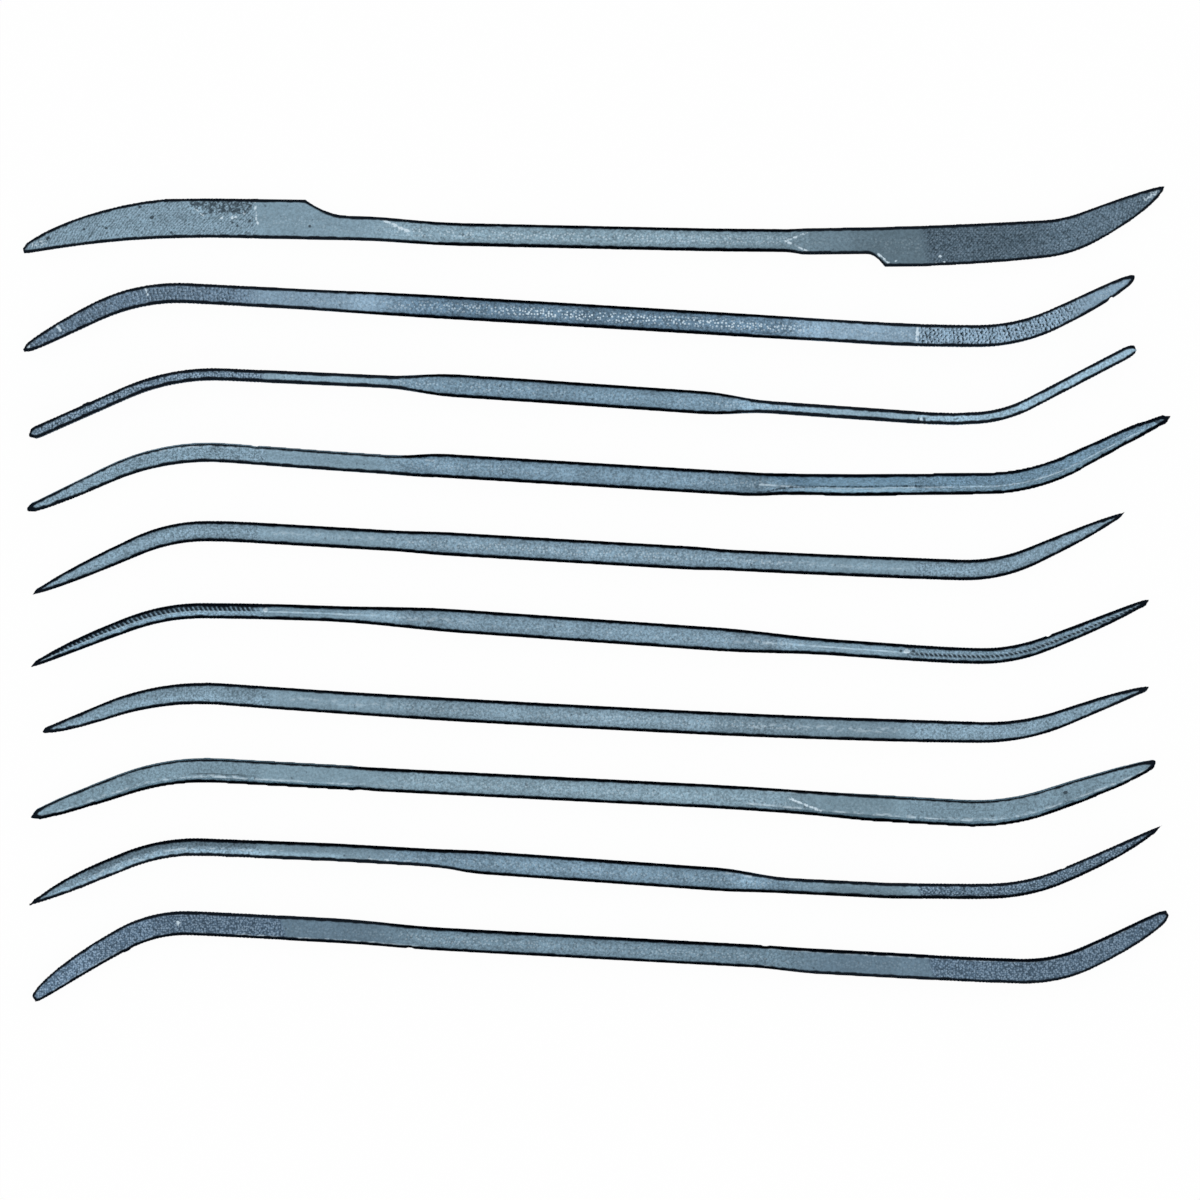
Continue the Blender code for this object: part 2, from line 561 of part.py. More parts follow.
def oval():
    left = End(
        OVAL_LEFT_REACH, OVAL_LEFT_WIDTH, OVAL_DEPTH, 0.0,
        round_section(),
        OVAL_LEFT_BEND_SHARES, OVAL_LEFT_TURNS, OVAL_LEFT_BLADE_SHARES,
        OVAL_LEFT_TAPER_SHAPE, OVAL_LEFT_POINT_SHARES,
    )
    right = End(
        OVAL_RIGHT_REACH, OVAL_RIGHT_WIDTH, OVAL_DEPTH, 0.0,
        round_section(),
        OVAL_RIGHT_BEND_SHARES, OVAL_RIGHT_TURNS, OVAL_RIGHT_BLADE_SHARES,
        OVAL_RIGHT_TAPER_SHAPE, OVAL_RIGHT_POINT_SHARES,
    )
    return Riffler("oval_riffler", OVAL_LAY, left, right, STEEL_COLOUR)


def barrette():
    left = End(
        BARRETTE_LEFT_REACH, BARRETTE_LEFT_WIDTH, BARRETTE_DEPTH, 0.0,
        cornered_section(LEFT_BARRETTE_SECTION_SHARES),
        BARRETTE_LEFT_BEND_SHARES, BARRETTE_LEFT_TURNS, BARRETTE_LEFT_BLADE_SHARES,
        BARRETTE_LEFT_TAPER_SHAPE, BARRETTE_LEFT_POINT_SHARES,
    )
    right = End(
        BARRETTE_RIGHT_REACH, BARRETTE_RIGHT_WIDTH, BARRETTE_DEPTH, BARRETTE_RIGHT_STEP,
        cornered_section(RIGHT_BARRETTE_SECTION_SHARES),
        BARRETTE_RIGHT_BEND_SHARES, BARRETTE_RIGHT_TURNS, BARRETTE_RIGHT_BLADE_SHARES,
        BARRETTE_RIGHT_TAPER_SHAPE, BARRETTE_RIGHT_POINT_SHARES,
    )
    return Riffler("barrette_riffler", BARRETTE_LAY, left, right, STEEL_COLOUR)


def half_round():
    left = End(
        HALF_ROUND_LEFT_REACH, HALF_ROUND_LEFT_THICKNESS, HALF_ROUND_BREADTH, HALF_ROUND_LEFT_STEP,
        half_round_section(HALF_ROUND_LEFT_ROLL, HALF_ROUND_LEFT_THICKNESS, HALF_ROUND_BREADTH),
        HALF_ROUND_LEFT_BEND_SHARES, HALF_ROUND_LEFT_TURNS, HALF_ROUND_LEFT_BLADE_SHARES,
        HALF_ROUND_LEFT_TAPER_SHAPE, HALF_ROUND_LEFT_POINT_SHARES,
    )
    right = End(
        HALF_ROUND_RIGHT_REACH, HALF_ROUND_RIGHT_THICKNESS, HALF_ROUND_BREADTH, HALF_ROUND_RIGHT_STEP,
        half_round_section(HALF_ROUND_RIGHT_ROLL, HALF_ROUND_RIGHT_THICKNESS, HALF_ROUND_BREADTH),
        HALF_ROUND_RIGHT_BEND_SHARES, HALF_ROUND_RIGHT_TURNS, HALF_ROUND_RIGHT_BLADE_SHARES,
        HALF_ROUND_RIGHT_TAPER_SHAPE, HALF_ROUND_RIGHT_POINT_SHARES,
    )
    return Riffler("half_round_riffler", HALF_ROUND_LAY, left, right, STEEL_COLOUR)


def pillar():
    left = End(
        PILLAR_LEFT_REACH, PILLAR_LEFT_WIDTH, PILLAR_DEPTH, PILLAR_LEFT_STEP,
        cornered_section(PILLAR_SECTION_SHARES),
        PILLAR_LEFT_BEND_SHARES, PILLAR_LEFT_TURNS, PILLAR_LEFT_BLADE_SHARES,
        PILLAR_LEFT_TAPER_SHAPE, PILLAR_LEFT_POINT_SHARES,
    )
    right = End(
        PILLAR_RIGHT_REACH, PILLAR_RIGHT_WIDTH, PILLAR_DEPTH, PILLAR_RIGHT_STEP,
        cornered_section(PILLAR_SECTION_SHARES),
        PILLAR_RIGHT_BEND_SHARES, PILLAR_RIGHT_TURNS, PILLAR_RIGHT_BLADE_SHARES,
        PILLAR_RIGHT_TAPER_SHAPE, PILLAR_RIGHT_POINT_SHARES,
    )
    return Riffler("pillar_riffler", PILLAR_LAY, left, right, DARK_STEEL_COLOUR)


def build():
    for old in list(bpy.data.objects):
        bpy.data.objects.remove(old)
    row = (
        knife(), square(), flat(), three_square(), round_file(),
        crossing(), oval(), barrette(), half_round(), pillar(),
    )
    files = [lay_in_row(riffler, i, len(row)) for i, riffler in enumerate(row)]
    centre_row(files)


build()
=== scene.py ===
"""A row of ten double-ended riffler files on a pale floor, seen from straight above.

Each file takes its shape from its solid in the frame. A copy of the solid is rounded off,
cut finer, given its teeth and dents, and finished in blue-grey steel.
"""

import math
from collections import namedtuple

import bmesh
import bpy
import numpy
from bpy.props import FloatProperty, FloatVectorProperty, IntProperty, PointerProperty
from mathutils.kdtree import KDTree
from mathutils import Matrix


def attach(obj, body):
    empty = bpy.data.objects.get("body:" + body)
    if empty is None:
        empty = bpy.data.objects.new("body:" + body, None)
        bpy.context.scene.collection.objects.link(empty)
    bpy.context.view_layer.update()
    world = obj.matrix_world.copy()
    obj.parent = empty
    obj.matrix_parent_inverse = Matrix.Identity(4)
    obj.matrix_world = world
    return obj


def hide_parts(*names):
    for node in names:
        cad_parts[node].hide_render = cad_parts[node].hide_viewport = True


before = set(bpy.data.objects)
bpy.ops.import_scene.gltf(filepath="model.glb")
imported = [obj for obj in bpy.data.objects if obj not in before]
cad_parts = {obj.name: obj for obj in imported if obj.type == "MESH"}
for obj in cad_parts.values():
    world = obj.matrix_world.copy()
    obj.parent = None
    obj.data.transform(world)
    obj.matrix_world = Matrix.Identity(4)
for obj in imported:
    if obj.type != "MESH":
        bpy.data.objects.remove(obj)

bl_info = {
    "name": "Riffler File Row",
    "version": (1, 0, 0),
    "blender": (4, 5, 0),
    "location": "View3D > Sidebar > Rifflers",
    "description": "Dresses a row of ten double-ended riffler files",
    "category": "Mesh",
}

MM = 0.001

# Corners of loose triangles that lie closer than this are one corner
MERGE_DISTANCE = 0.0001 * MM

# An edge sharper than this is an arris. It's looked for in steps, and it stays crisp in a core,
# inside a width where its bright wear fades out.
ARRIS_ANGLE = math.radians(32)
ARRIS_STEP = 0.1 * MM
ARRIS_CORE = 0.08 * MM
ARRIS_WIDTH = 0.35 * MM

# The middle line of a bent file is read in steps, and blurred over this many of them
LAY_STEP = 0.5 * MM
LAY_BLUR = 7

# The outline is kept as points so far apart
OUTLINE_STEP = 0.1 * MM

# The teeth fade out towards a tip over twice this length
TIP_FADE = 3.0 * MM

# The first cut's part in the height of the teeth. The second cut has the rest.
OVERCUT_SHARE = 0.6

# The rows of teeth waver by this much
WAVER = 0.14 * MM

# A needle tip swells on the outside of its bend, and the painted edge shade closes over it, over this
# length. These are the most that it swells and that its painted shade grows.
TIP_REACH = 1.8 * MM
TIP_SWELL = 0.3 * MM
TIP_PAINTED_SHADE = 0.45 * MM

# The notches along the crossing file
NOTCH_PITCH = 0.74 * MM
NOTCH_LEAN = 0.6
NOTCH_DEPTH = 0.14 * MM

# The painted edge shade, a near-black rim, lies along the upper edges only. Where the surface turns
# down, so that its normal points up by less than the first of these, it counts as further in by the second.
SIDE_TURN = 0.25
SIDE_INSET = 1.5 * MM

# Where across a file, in shares of half its width, the push of a side and the swelling of a tip
# start and are full. The painted highlight along the middle is full up to its first share and ends at its
# second.
PUSHED_SIDE = (0.2, 0.8)
PUSHED_TIP = (0.0, 0.6)
MIDDLE_HIGHLIGHT = (0.15, 0.6)

# A mark is full up to this share of its width. A band is full up to the first of its shares,
# and ends at the second.
MARK_CORE = 0.3
BAND_EDGES = (0.5, 1.5)

# A vertex group keeps its weights in so many steps
GROUP_STEPS = 16

# Each kind of noise: how many grains there are to the metre, its detail and its roughness
FINE_GRAIN = (2400.0, 3.0, 0.8)
BROAD_GRAIN = (160.0, 3.0, 0.6)
PIT_GRAIN = (1300.0, 1.0, 0.5)
FLECK_PATCHES = (110.0, 1.0, 0.5)
STIPPLE_GRAIN = (3300.0, 1.0, 0.5)
RAGGED_GRAIN = (1900.0, 2.0, 0.6)
DASH_GRAIN = (1700.0, 2.0, 0.6)
WEAR_GRAIN = (420.0, 3.0, 0.7)
EDGE_GRAIN = (700.0, 2.0, 0.6)
WAVER_GRAIN = (1100.0, 1.0, 0.5)

# Below 1, the first of these draws a noise out along the file
PATCH_STRETCH = (0.4, 1.0, 1.0)
DASH_STRETCH = (0.5, 1.0, 1.0)

# Noise stays between these nearly everywhere
NOISE_SPAN = (0.3, 0.7)

# How many dots there are to the metre. They lie in a lattice at 0, and strewn at 1.
FLECK_DOTS = 2100.0
STIPPLE_DOTS = 2900.0
DOT_RANDOMNESS = 0.75

# The ramps of the steel: where each starts and ends, and its values there if not 0 and 1
SPECKLE_RAMP = (0.34, 0.66, 0.6, 1.4)
BROAD_RAMP = (*NOISE_SPAN, 0.88, 1.12)
PIT_RAMP = (0.7, 0.76)
FLECK_RAMP = (0.2, 0.44, 1.0, 0.0)
PATCH_RAMP = (0.3, 0.6, 0.5, 1.0)
STIPPLE_RAMP = (0.2, 0.8, 1.0, 0.0)
MARK_RAMP = (0.2, 0.8, 0.0, 0.85)
DASH_RAMP = (0.47, 0.62)
ARRIS_RAMP = (0.35, 1.0)
WEAR_RAMP = (0.42, 0.62)
# The next two give the painted shade in the hollows of the teeth and the painted highlight on their crests.
HOLLOW_RAMP = (0.1, 0.5, 0.62, 0.0)
CREST_RAMP = (0.5, 0.9, 0.0, 0.55)
MIDDLE_HIGHLIGHT_RAMP = (0.0, 1.0, 0.3, 1.0)
NOTCH_RAMP = (0.5, 0.75, 1.0, 0.25)

# How far noise moves the stipple, the marks and the end of the dark skin. A mark is fully
# ragged where its strength times the last of these reaches 1.
STIPPLE_REACH = 0.25
RAGGED_REACH = 0.45
EDGE_REACH = 0.25
RAGGED_GAIN = 4.0

# How much of the skin's unevenness is left where a blade is ground
GROUND_GRAIN_SHARE = 0.55

# How far the steel gets smoother and rougher than its setting, and what teeth and wear change
ROUGHNESS_CHANGES = (-0.06, 0.08)
TOOTH_ROUGHNESS = 0.1
WORN_SMOOTHNESS = 0.1

BUMP_STRENGTH = 0.6
WHITE = (1.0, 1.0, 1.0, 1.0)

# A soft band starts and ends over twice this length
BAND_FADE = 1.5 * MM

# No nick is deeper than this
NICK_DEPTH = 0.3 * MM

# The forged skin of the handle ends between these distances from the middle
FORGED_START = 27.0 * MM
FORGED_END = 38.0 * MM

# A band texture read by UV starts a new band at 1, and each time the UV has grown by this much
BAND_START = 1.0
BAND_PERIOD = math.pi / 10

# The photograph's frame: its width at the height of the files' outlines, and its middle
FRAME_WIDTH = 188.8 * MM
OUTLINE_HEIGHT = 2.0 * MM
FRAME_MIDDLE = (0.487 * MM, -0.947 * MM)

# How one blade is cut: where its teeth start, how far that line leans along the file for each
# unit across it, and where they fade out towards the tip, as a distance from the middle of the
# row, and half the length over which they fade in. The rest are shares: how far the cut is painted
# darker as shade, how much the teeth stand out in bump and in painted shade in their hollows and painted
# highlight on their crests, how much of them is loose grain, and the first set's part in them.
Cut = namedtuple("Cut", "start slant shade contrast loose tip fade share")

# A file's two cuts, the pitch and depth of its teeth, and how far the rows of each set lean
Teeth = namedtuple("Teeth", "left right pitch depth overcut_lean upcut_lean")

# The colours of the ground blades and of the forged handle are linear. The rest are strengths:
# the unevenness of the skin, the painted highlight broken into flecks along the middle, and the worn
# arrises.
Look = namedtuple("Look", "ground forged grain flecks wear")

# A bright or dark mark, as a line in the plane of the row. Most are scratches, pits and patches. Some
# bright ones are painted highlights, and one dark one is painted shade.
Mark = namedtuple("Mark", "start end width strength")

# A soft band along a file. Its middle and half its width are shares of half the file's width,
# from 1 at the upper outline to -1 at the lower one.
Band = namedtuple("Band", "start end middle width strength")

# A nick in the outline, at the upper side (1) or the lower side (-1). A burr has a depth below 0.
Nick = namedtuple("Nick", "x side width depth")

# How far a file's sides stand out, by what the teeth and dents took off, and how much of a
# needle each of its tips is, from 0 to 1
Sides = namedtuple("Sides", "gain left_tip right_tip")

# A file's sides and what they bear: marks, nicks, lighter and darker bands that are partly the steel's own
# tone and partly painted light and shade, broken lines of painted highlight, and bands of notches
Traces = namedtuple("Traces", "sides bright dark nicks tones streaks notches", defaults=((),) * 6)


def cut(start, slant, shade, contrast, loose, tip=100.0, fade=0.4, share=OVERCUT_SHARE):
    """One blade's cut, with its places in millimetres."""
    return Cut(start * MM, slant, shade, contrast, loose, tip * MM, fade * MM, share)


def line(x, y, end_x, end_y, width, strength=1.0):
    """A mark from one place to another, in millimetres."""
    return Mark((x * MM, y * MM), (end_x * MM, end_y * MM), width * MM, strength)


def spot(x, y, width, strength=1.0):
    """A mark at one place, in millimetres."""
    return line(x, y, x, y, width, strength)


def spots(width, *places):
    """Marks of one width, each at one place."""
    return tuple(spot(*place, width) for place in places)


def band(start, end, middle, width, strength):
    """A soft band, with its ends in millimetres."""
    return Band(start * MM, end * MM, middle, width, strength)


def tone(start, end, strength):
    """A band over the whole width of the file."""
    return band(start, end, 0.0, ALL_OVER, strength)


def nick(x, side, width, depth):
    """A nick, in millimetres."""
    return Nick(x * MM, side, width * MM, depth * MM)


def sides(gain, left_tip, right_tip):
    """A file's sides, with their gain in millimetres."""
    return Sides(gain * MM, left_tip, right_tip)


UPPER = 1
LOWER = -1

# A band this wide reaches over the whole file
ALL_OVER = 4.0

COARSE_PITCH = 0.56 * MM
FINE_PITCH = 0.36 * MM
COARSE_DEPTH = 0.1 * MM
FINE_DEPTH = 0.03 * MM

GROUND = (0.225, 0.335, 0.415)
FORGED = (0.23, 0.34, 0.415)
GREY_FORGED = (0.2, 0.3, 0.38)
COOL_FORGED = (0.18, 0.28, 0.365)

KNIFE_TEETH = Teeth(
    cut(-53.7, -0.15, 0.0, 0.75, 0.35, share=0.85),
    cut(51.6, -0.2, 0.45, 0.8, 0.45, fade=1.2),
    COARSE_PITCH, 0.08 * MM, -1.0, -0.8,
)
SQUARE_TEETH = Teeth(
    cut(-54.5, -0.1, 0.55, 0.85, 0.4, fade=3.0, share=0.75),
    cut(50.6, 0.0, 0.0, 1.8, 0.3, 76.0),
    0.62 * MM, COARSE_DEPTH, 0.15, 0.9,
)
FLAT_TEETH = Teeth(
    cut(-52.5, 0.0, 0.58, 1.0, 0.6), cut(50.9, 0.0, 0.0, 0.2, 0.5), COARSE_PITCH, COARSE_DEPTH, 0.3, 0.9
)
THREE_SQUARE_TEETH = Teeth(
    cut(-52.0, 0.0, 0.0, 0.6, 0.6), cut(49.0, 0.0, 0.05, 0.4, 0.6), FINE_PITCH, FINE_DEPTH, 0.4, 0.9
)
ROUND_TEETH = Teeth(
    cut(-53.0, 0.0, 0.05, 0.4, 0.7), cut(50.0, 0.0, 0.1, 0.4, 0.7), COARSE_PITCH, 0.07 * MM, 0.5, 0.9
)
CROSSING_TEETH = Teeth(
    cut(-52.2, 0.0, 0.1, 0.35, 0.5), cut(48.5, 0.0, 0.1, 0.4, 0.5), COARSE_PITCH, 0.07 * MM, 0.7, 0.9
)
OVAL_TEETH = Teeth(
    cut(-51.4, 0.0, 0.05, 0.4, 0.6), cut(49.3, 0.0, 0.05, 0.4, 0.6), COARSE_PITCH, 0.07 * MM, 0.5, 0.9
)
BARRETTE_TEETH = Teeth(
    cut(-53.0, 0.0, 0.0, 0.12, 0.6), cut(48.5, 0.0, 0.05, 0.15, 0.6), FINE_PITCH, FINE_DEPTH, 0.4, 0.9
)
HALF_ROUND_TEETH = Teeth(
    cut(-53.0, -0.5, 0.1, 0.45, 0.5),
    cut(50.6, -0.5, 0.62, 0.9, 0.6),
    COARSE_PITCH, COARSE_DEPTH, 0.7, 0.9,
)
PILLAR_TEETH = Teeth(
    cut(-49.3, -0.35, 0.57, 0.6, 0.7),
    cut(52.5, -0.3, 0.52, 0.6, 0.7),
    COARSE_PITCH, COARSE_DEPTH, 0.6, 0.9,
)

KNIFE_LOOK = Look(GROUND, FORGED, 0.9, 0.5, 0.3)
SQUARE_LOOK = Look((0.25, 0.37, 0.48), (0.125, 0.205, 0.285), 1.2, 1.0, 0.3)
FLAT_LOOK = Look(GROUND, COOL_FORGED, 1.0, 0.4, 0.3)
THREE_SQUARE_LOOK = Look(GROUND, COOL_FORGED, 1.0, 0.25, 0.5)
ROUND_LOOK = Look(GROUND, GREY_FORGED, 1.0, 0.4, 0.3)
CROSSING_LOOK = Look(GROUND, GREY_FORGED, 1.0, 0.3, 0.3)
OVAL_LOOK = Look(GROUND, (0.21, 0.31, 0.385), 1.0, 0.3, 0.3)
BARRETTE_LOOK = Look((0.21, 0.315, 0.385), FORGED, 0.9, 0.3, 0.5)
HALF_ROUND_LOOK = Look(GROUND, COOL_FORGED, 1.0, 0.3, 0.3)
PILLAR_LOOK = Look((0.13, 0.2, 0.262), (0.17, 0.26, 0.33), 0.9, 0.3, 0.3)

KNIFE_TRACES = Traces(
    sides=sides(0.065, 0.0, 0.0),
    bright=(
        *spots(0.35, (-59.0, 59.2), (-57.4, 59.2)), *spots(0.3, (-56.8, 59.3), (-55.5, 59.9)),
        line(-53.9, 62.0, -53.6, 59.6, 0.22, 0.7), line(-53.6, 59.2, -53.3, 58.2, 0.2, 0.6),
        # At -88.7 mm, a painted highlight near the left tip.
        line(-63.5, 60.7, -61.8, 59.5, 0.2, 0.6), line(-88.7, 54.8, -87.0, 55.3, 0.7, 0.3),
        line(-35.7, 59.7, -29.6, 57.0, 0.3, 0.9), line(29.6, 55.5, 33.1, 56.8, 0.22, 0.6),
        # From 44.2 mm, a painted highlight along the hollow shoulder.
        line(29.6, 55.5, 33.1, 54.0, 0.22, 0.6), line(44.2, 53.5, 45.8, 52.2, 0.22, 0.9),
        spot(47.0, 52.4, 0.25), *spots(0.3, (53.4, 52.1), (54.0, 53.2), (54.6, 52.2)),
        # A painted highlight on the right tip.
        line(86.4, 62.3, 88.0, 63.3, 0.7, 0.35),
    ),
    dark=(
        line(-63.2, 61.3, -54.8, 61.5, 1.2, 0.6), line(-61.7, 60.2, -54.9, 60.5, 0.9, 0.6),
        spot(-70.0, 59.3, 0.45), *spots(0.4, (-66.9, 56.8), (-86.4, 56.0), (-71.9, 60.9)),
        *spots(0.3, (-80.7, 57.4), (-77.2, 57.6), (-57.3, 58.4), (-56.6, 57.9), (-54.6, 58.7)),
        spot(-45.1, 57.9, 0.35),
    ),
    tones=(
        tone(-54, -37, -0.08), tone(27, 100, -0.08), tone(33, 100, -0.15), tone(40, 100, -0.15),
        tone(22, 51, -0.1), tone(51, 72, -0.06), tone(70, 100, 0.1),
    ),
)
SQUARE_TRACES = Traces(
    sides=sides(0.09, 0.1, 0.3),
    bright=(
        line(-71.1, 48.3, -70.6, 47.0, 0.2), line(-85.1, 42.3, -84.3, 41.4, 0.25),
        # At -89.5 mm, a painted highlight on the left tip.
        spot(-89.5, 38.9, 0.4), line(50.4, 41.9, 50.2, 39.6, 0.28, 0.8), spot(50.5, 40.9, 0.35),
    ),
    dark=(line(-38.8, 47.6, -31.0, 47.7, 0.35, 0.6),),
    nicks=(nick(80.9, LOWER, 0.6, 0.3),),
    tones=(
        tone(-100, -31, -0.15), tone(-38, -23, 0.2), tone(-23, 20, -0.06),
        tone(20, 36, 0.12), tone(36, 50, -0.06), tone(74, 100, -0.1),
    ),
)
FLAT_TRACES = Traces(
    sides=sides(0.07, 0.1, 0.0),
    bright=(line(50.95, 26.7, 50.95, 27.6, 0.24, 1.3), spot(-80.2, 30.0, 0.35)),
    dark=(
        line(50.5, 26.8, 50.5, 27.6, 0.24, 1.2), line(51.4, 26.8, 51.4, 27.6, 0.24, 1.2),
        line(52.1, 29.2, 52.1, 27.7, 0.2, 0.45), line(52.9, 29.2, 52.9, 27.7, 0.2, 0.4),
    ),
    nicks=(nick(-80.4, UPPER, 0.9, -0.15),),
    tones=(tone(-50, -30, 0.18), tone(22, 35, 0.2), tone(24, 100, 0.12), tone(50, 100, 0.35)),
)
THREE_SQUARE_TRACES = Traces(
    sides=sides(0.15, 0.5, 0.5),
    dark=(
        line(24.9, 16.0, 30.4, 16.8, 0.22, 0.55), line(30.4, 16.8, 50.8, 17.0, 0.22, 0.55),
        # Painted shade over the hooked right tip.
        line(87.5, 27.7, 90.2, 27.3, 1.0, 0.8),
    ),
    nicks=(nick(-53.8, UPPER, 0.7, 0.15),),
    tones=(
        tone(-100, -31, 0.14), tone(22, 34, -0.25), tone(27, 100, 0.32),
        tone(27, 50, 0.27), band(27, 54, -0.2, 0.15, -0.4), band(26, 52, -0.52, 0.14, 0.3),
    ),
    streaks=(
        band(-84, -57, 0.65, 0.12, 0.6), band(30, 46, -0.45, 0.12, 0.35),
        band(45, 63, -0.3, 0.1, 0.45), band(63, 85, -0.2, 0.08, 0.4),
    ),
)
ROUND_TRACES = Traces(
    sides=sides(0.11, 1.0, 0.8),
    tones=(
        band(-86, -40, 0.0, 0.4, 0.12), tone(-50, -38, -0.08), tone(37, 50, -0.12),
        band(40, 86, 0.0, 0.4, 0.12),
    ),
    streaks=(band(-52, -28, 0.1, 0.2, 0.22), band(22, 50, 0.0, 0.2, 0.22)),
)
CROSSING_TRACES = Traces(
    sides=sides(0.11, 1.0, 1.0),
    bright=(spot(-52.1, -2.5, 0.5, 1.3), spot(48.7, -9.0, 0.6, 1.5)),
    dark=(spot(47.8, -9.0, 0.35), spot(49.8, -9.0, 0.4, 1.3)),
    nicks=(nick(71.0, UPPER, 0.5, 0.2),),
    tones=(
        tone(-100, -31, 0.4), tone(-52, -23, -0.14), tone(22, 49, -0.12),
        tone(29, 100, 0.28), tone(29, 48, 0.2), band(-90, -53, -0.55, 0.35, 0.25),
        band(-90, -53, 0.7, 0.2, -0.15),
    ),
    notches=(band(-86.5, -53.5, 0.32, 0.32, 1.0), band(49.5, 86.5, -0.1, 0.26, 1.0)),
    streaks=(band(-50, -20, 0.0, 0.25, 0.25), band(20, 48, 0.0, 0.25, 0.25)),
)
OVAL_TRACES = Traces(
    sides=sides(0.1, 0.6, 0.8),
    tones=(
        band(-88, -52, -0.5, 0.35, 0.18), band(-88, -52, 0.5, 0.35, -0.1),
        tone(-50, -24, -0.08), tone(18, 48, -0.22), tone(50, 90, 0.1),
    ),
    streaks=(band(-50, -32, 0.0, 0.25, 0.25), band(22, 48, 0.0, 0.25, 0.3)),
)
BARRETTE_TRACES = Traces(
    sides=sides(0.13, 0.3, 0.4),
    bright=(line(30.2, -32.1, 35.2, -34.1, 0.22, 0.8),),
    dark=(
        *spots(0.35, (-61.7, -29.7), (-59.0, -29.6), (-50.6, -30.4), (-45.1, -30.5), (-78.8, -33.4)),
        *spots(0.3, (-55.4, -30.2), (-48.0, -30.8), (-46.7, -30.2), (-39.8, -31.6)),
        spot(73.7, -31.2, 0.4, 1.3),
    ),
    tones=(
        band(-88, -35, -0.62, 0.15, 0.2), band(-64, -54, -0.28, 0.05, -0.6),
        tone(30, 47, -0.16), band(45, 86, -0.62, 0.15, 0.2),
    ),
    streaks=(
        band(-80, -63, -0.42, 0.1, 0.4), band(-63.0, -55.5, -0.45, 0.1, 0.6),
        band(-55, -30, -0.5, 0.1, 0.3), band(40, 86, -0.45, 0.09, 0.4),
    ),
)
HALF_ROUND_TRACES = Traces(
    sides=sides(0.1, 1.0, 1.0),
    nicks=(nick(73.3, UPPER, 0.6, 0.15),),
    tones=(
        band(-80, -53, 0.6, 0.45, -0.35), band(-90, -40, -0.55, 0.35, 0.4),
        tone(-52, -33, -0.18), tone(22, 36, 0.22), tone(26, 49, -0.26),
    ),
    streaks=(
        band(-82, -44, -0.1, 0.1, 0.5), band(-80, -70, -0.45, 0.1, 0.5),
        band(-38, -27, -0.55, 0.1, 0.6), band(20, 32, 0.6, 0.1, 0.5),
    ),
)
PILLAR_TRACES = Traces(
    sides=sides(0.075, 0.0, 0.1),
    bright=(spot(-65.9, -51.8, 0.5),),
    nicks=(nick(-73.8, LOWER, 0.9, -0.15), nick(-29.4, LOWER, 0.7, 0.15), nick(26.5, UPPER, 0.7, 0.15)),
    tones=(
        tone(-100, -78, 0.2), tone(-100, -70, 0.15), tone(-49, -33, -0.08),
        tone(-33, -24, -0.07), tone(20, 34, -0.08),
    ),
    streaks=(band(-58, -31, -0.72, 0.06, 0.6), band(29, 52, 0.72, 0.06, 0.6)),
)


def fine_length(**given):
    """A setting that is a length of less than a millimetre."""
    return FloatProperty(unit="LENGTH", precision=6, **given)


def tint(**given):
    """A setting that is a colour."""
    return FloatVectorProperty(size=3, subtype="COLOR", **given)


class RifflerTeethSettings(bpy.types.PropertyGroup):
    """The mesh of a file, its teeth and the dents in its forged skin."""

    face_size: fine_length(
        name="Face Size", description="Size of one face of the fine mesh", default=0.175 * MM, min=0.1 * MM
    )
    smoothing: IntProperty(
        name="Smoothing", description="How many times the faces between the arrises are smoothed",
        default=16, min=0,
    )
    upcut_pitch_share: FloatProperty(
        name="Upcut Pitch Share",
        description="Pitch of the second cut, as a share of that of the first", default=1.15,
        subtype="FACTOR",
    )
    dent_size: fine_length(
        name="Dent Size", description="Size of the dents in the forged skin", default=0.5 * MM
    )
    dent_depth: fine_length(
        name="Dent Depth", description="Depth of the dents in the forged skin", default=0.05 * MM
    )


class RifflerSteelSettings(bpy.types.PropertyGroup):
    """The finish of the steel."""

    # The painted edge shade: how far it reaches in from the outline, and the length over which it fades
    # out.
    edge_width: fine_length(
        name="Edge Width", description="How far the dark skin reaches in from the outline",
        default=0.44 * MM,
    )
    painted_shade_fade: fine_length(
        name="Edge Fade", description="Length over which the dark skin fades out", default=0.22 * MM
    )
    grain_depth: fine_length(
        name="Grain Depth",
        description="Height of the finest grain and of the fine relief of the teeth", default=0.05 * MM,
    )
    pit_strength: FloatProperty(
        name="Pit Strength", description="How dark the pits are", default=0.5, subtype="FACTOR"
    )
    # The colour of the painted edge shade.
    edge: tint(
        name="Edge", description="Colour of the dark skin along the edges", default=(0.006, 0.009, 0.014)
    )
    # Also the colour of the painted highlights: the flecks along the middle, the broken lines along the
    # files and some bright marks.
    fleck: tint(
        name="Fleck", description="Colour of bare metal where the skin is rubbed through",
        default=(0.64, 0.77, 0.86),
    )
    # The cut colour is painted shade on the toothed parts. The next colour is painted highlight on the
    # crests of the teeth.
    cut: tint(name="Cut", description="Colour of the darkest teeth", default=(0.065, 0.107, 0.172))
    crest_highlight: tint(name="Crest", description="Colour of the crests of the teeth", default=(0.5, 0.66, 0.82))
    # Besides the pits and dark marks, this colour paints the shade in the gaps of the notches and over the
    # three-square file's right tip.
    pit: tint(name="Pit", description="Colour in the pits of the skin", default=(0.03, 0.045, 0.06))
    grazing: tint(
        name="Grazing", description="Tint of the steel at grazing angles", default=(0.0, 0.0, 0.0)
    )
    roughness: FloatProperty(
        name="Roughness", description="Roughness of the ground steel", default=0.38, subtype="FACTOR",
        min=0.0, max=1.0,
    )


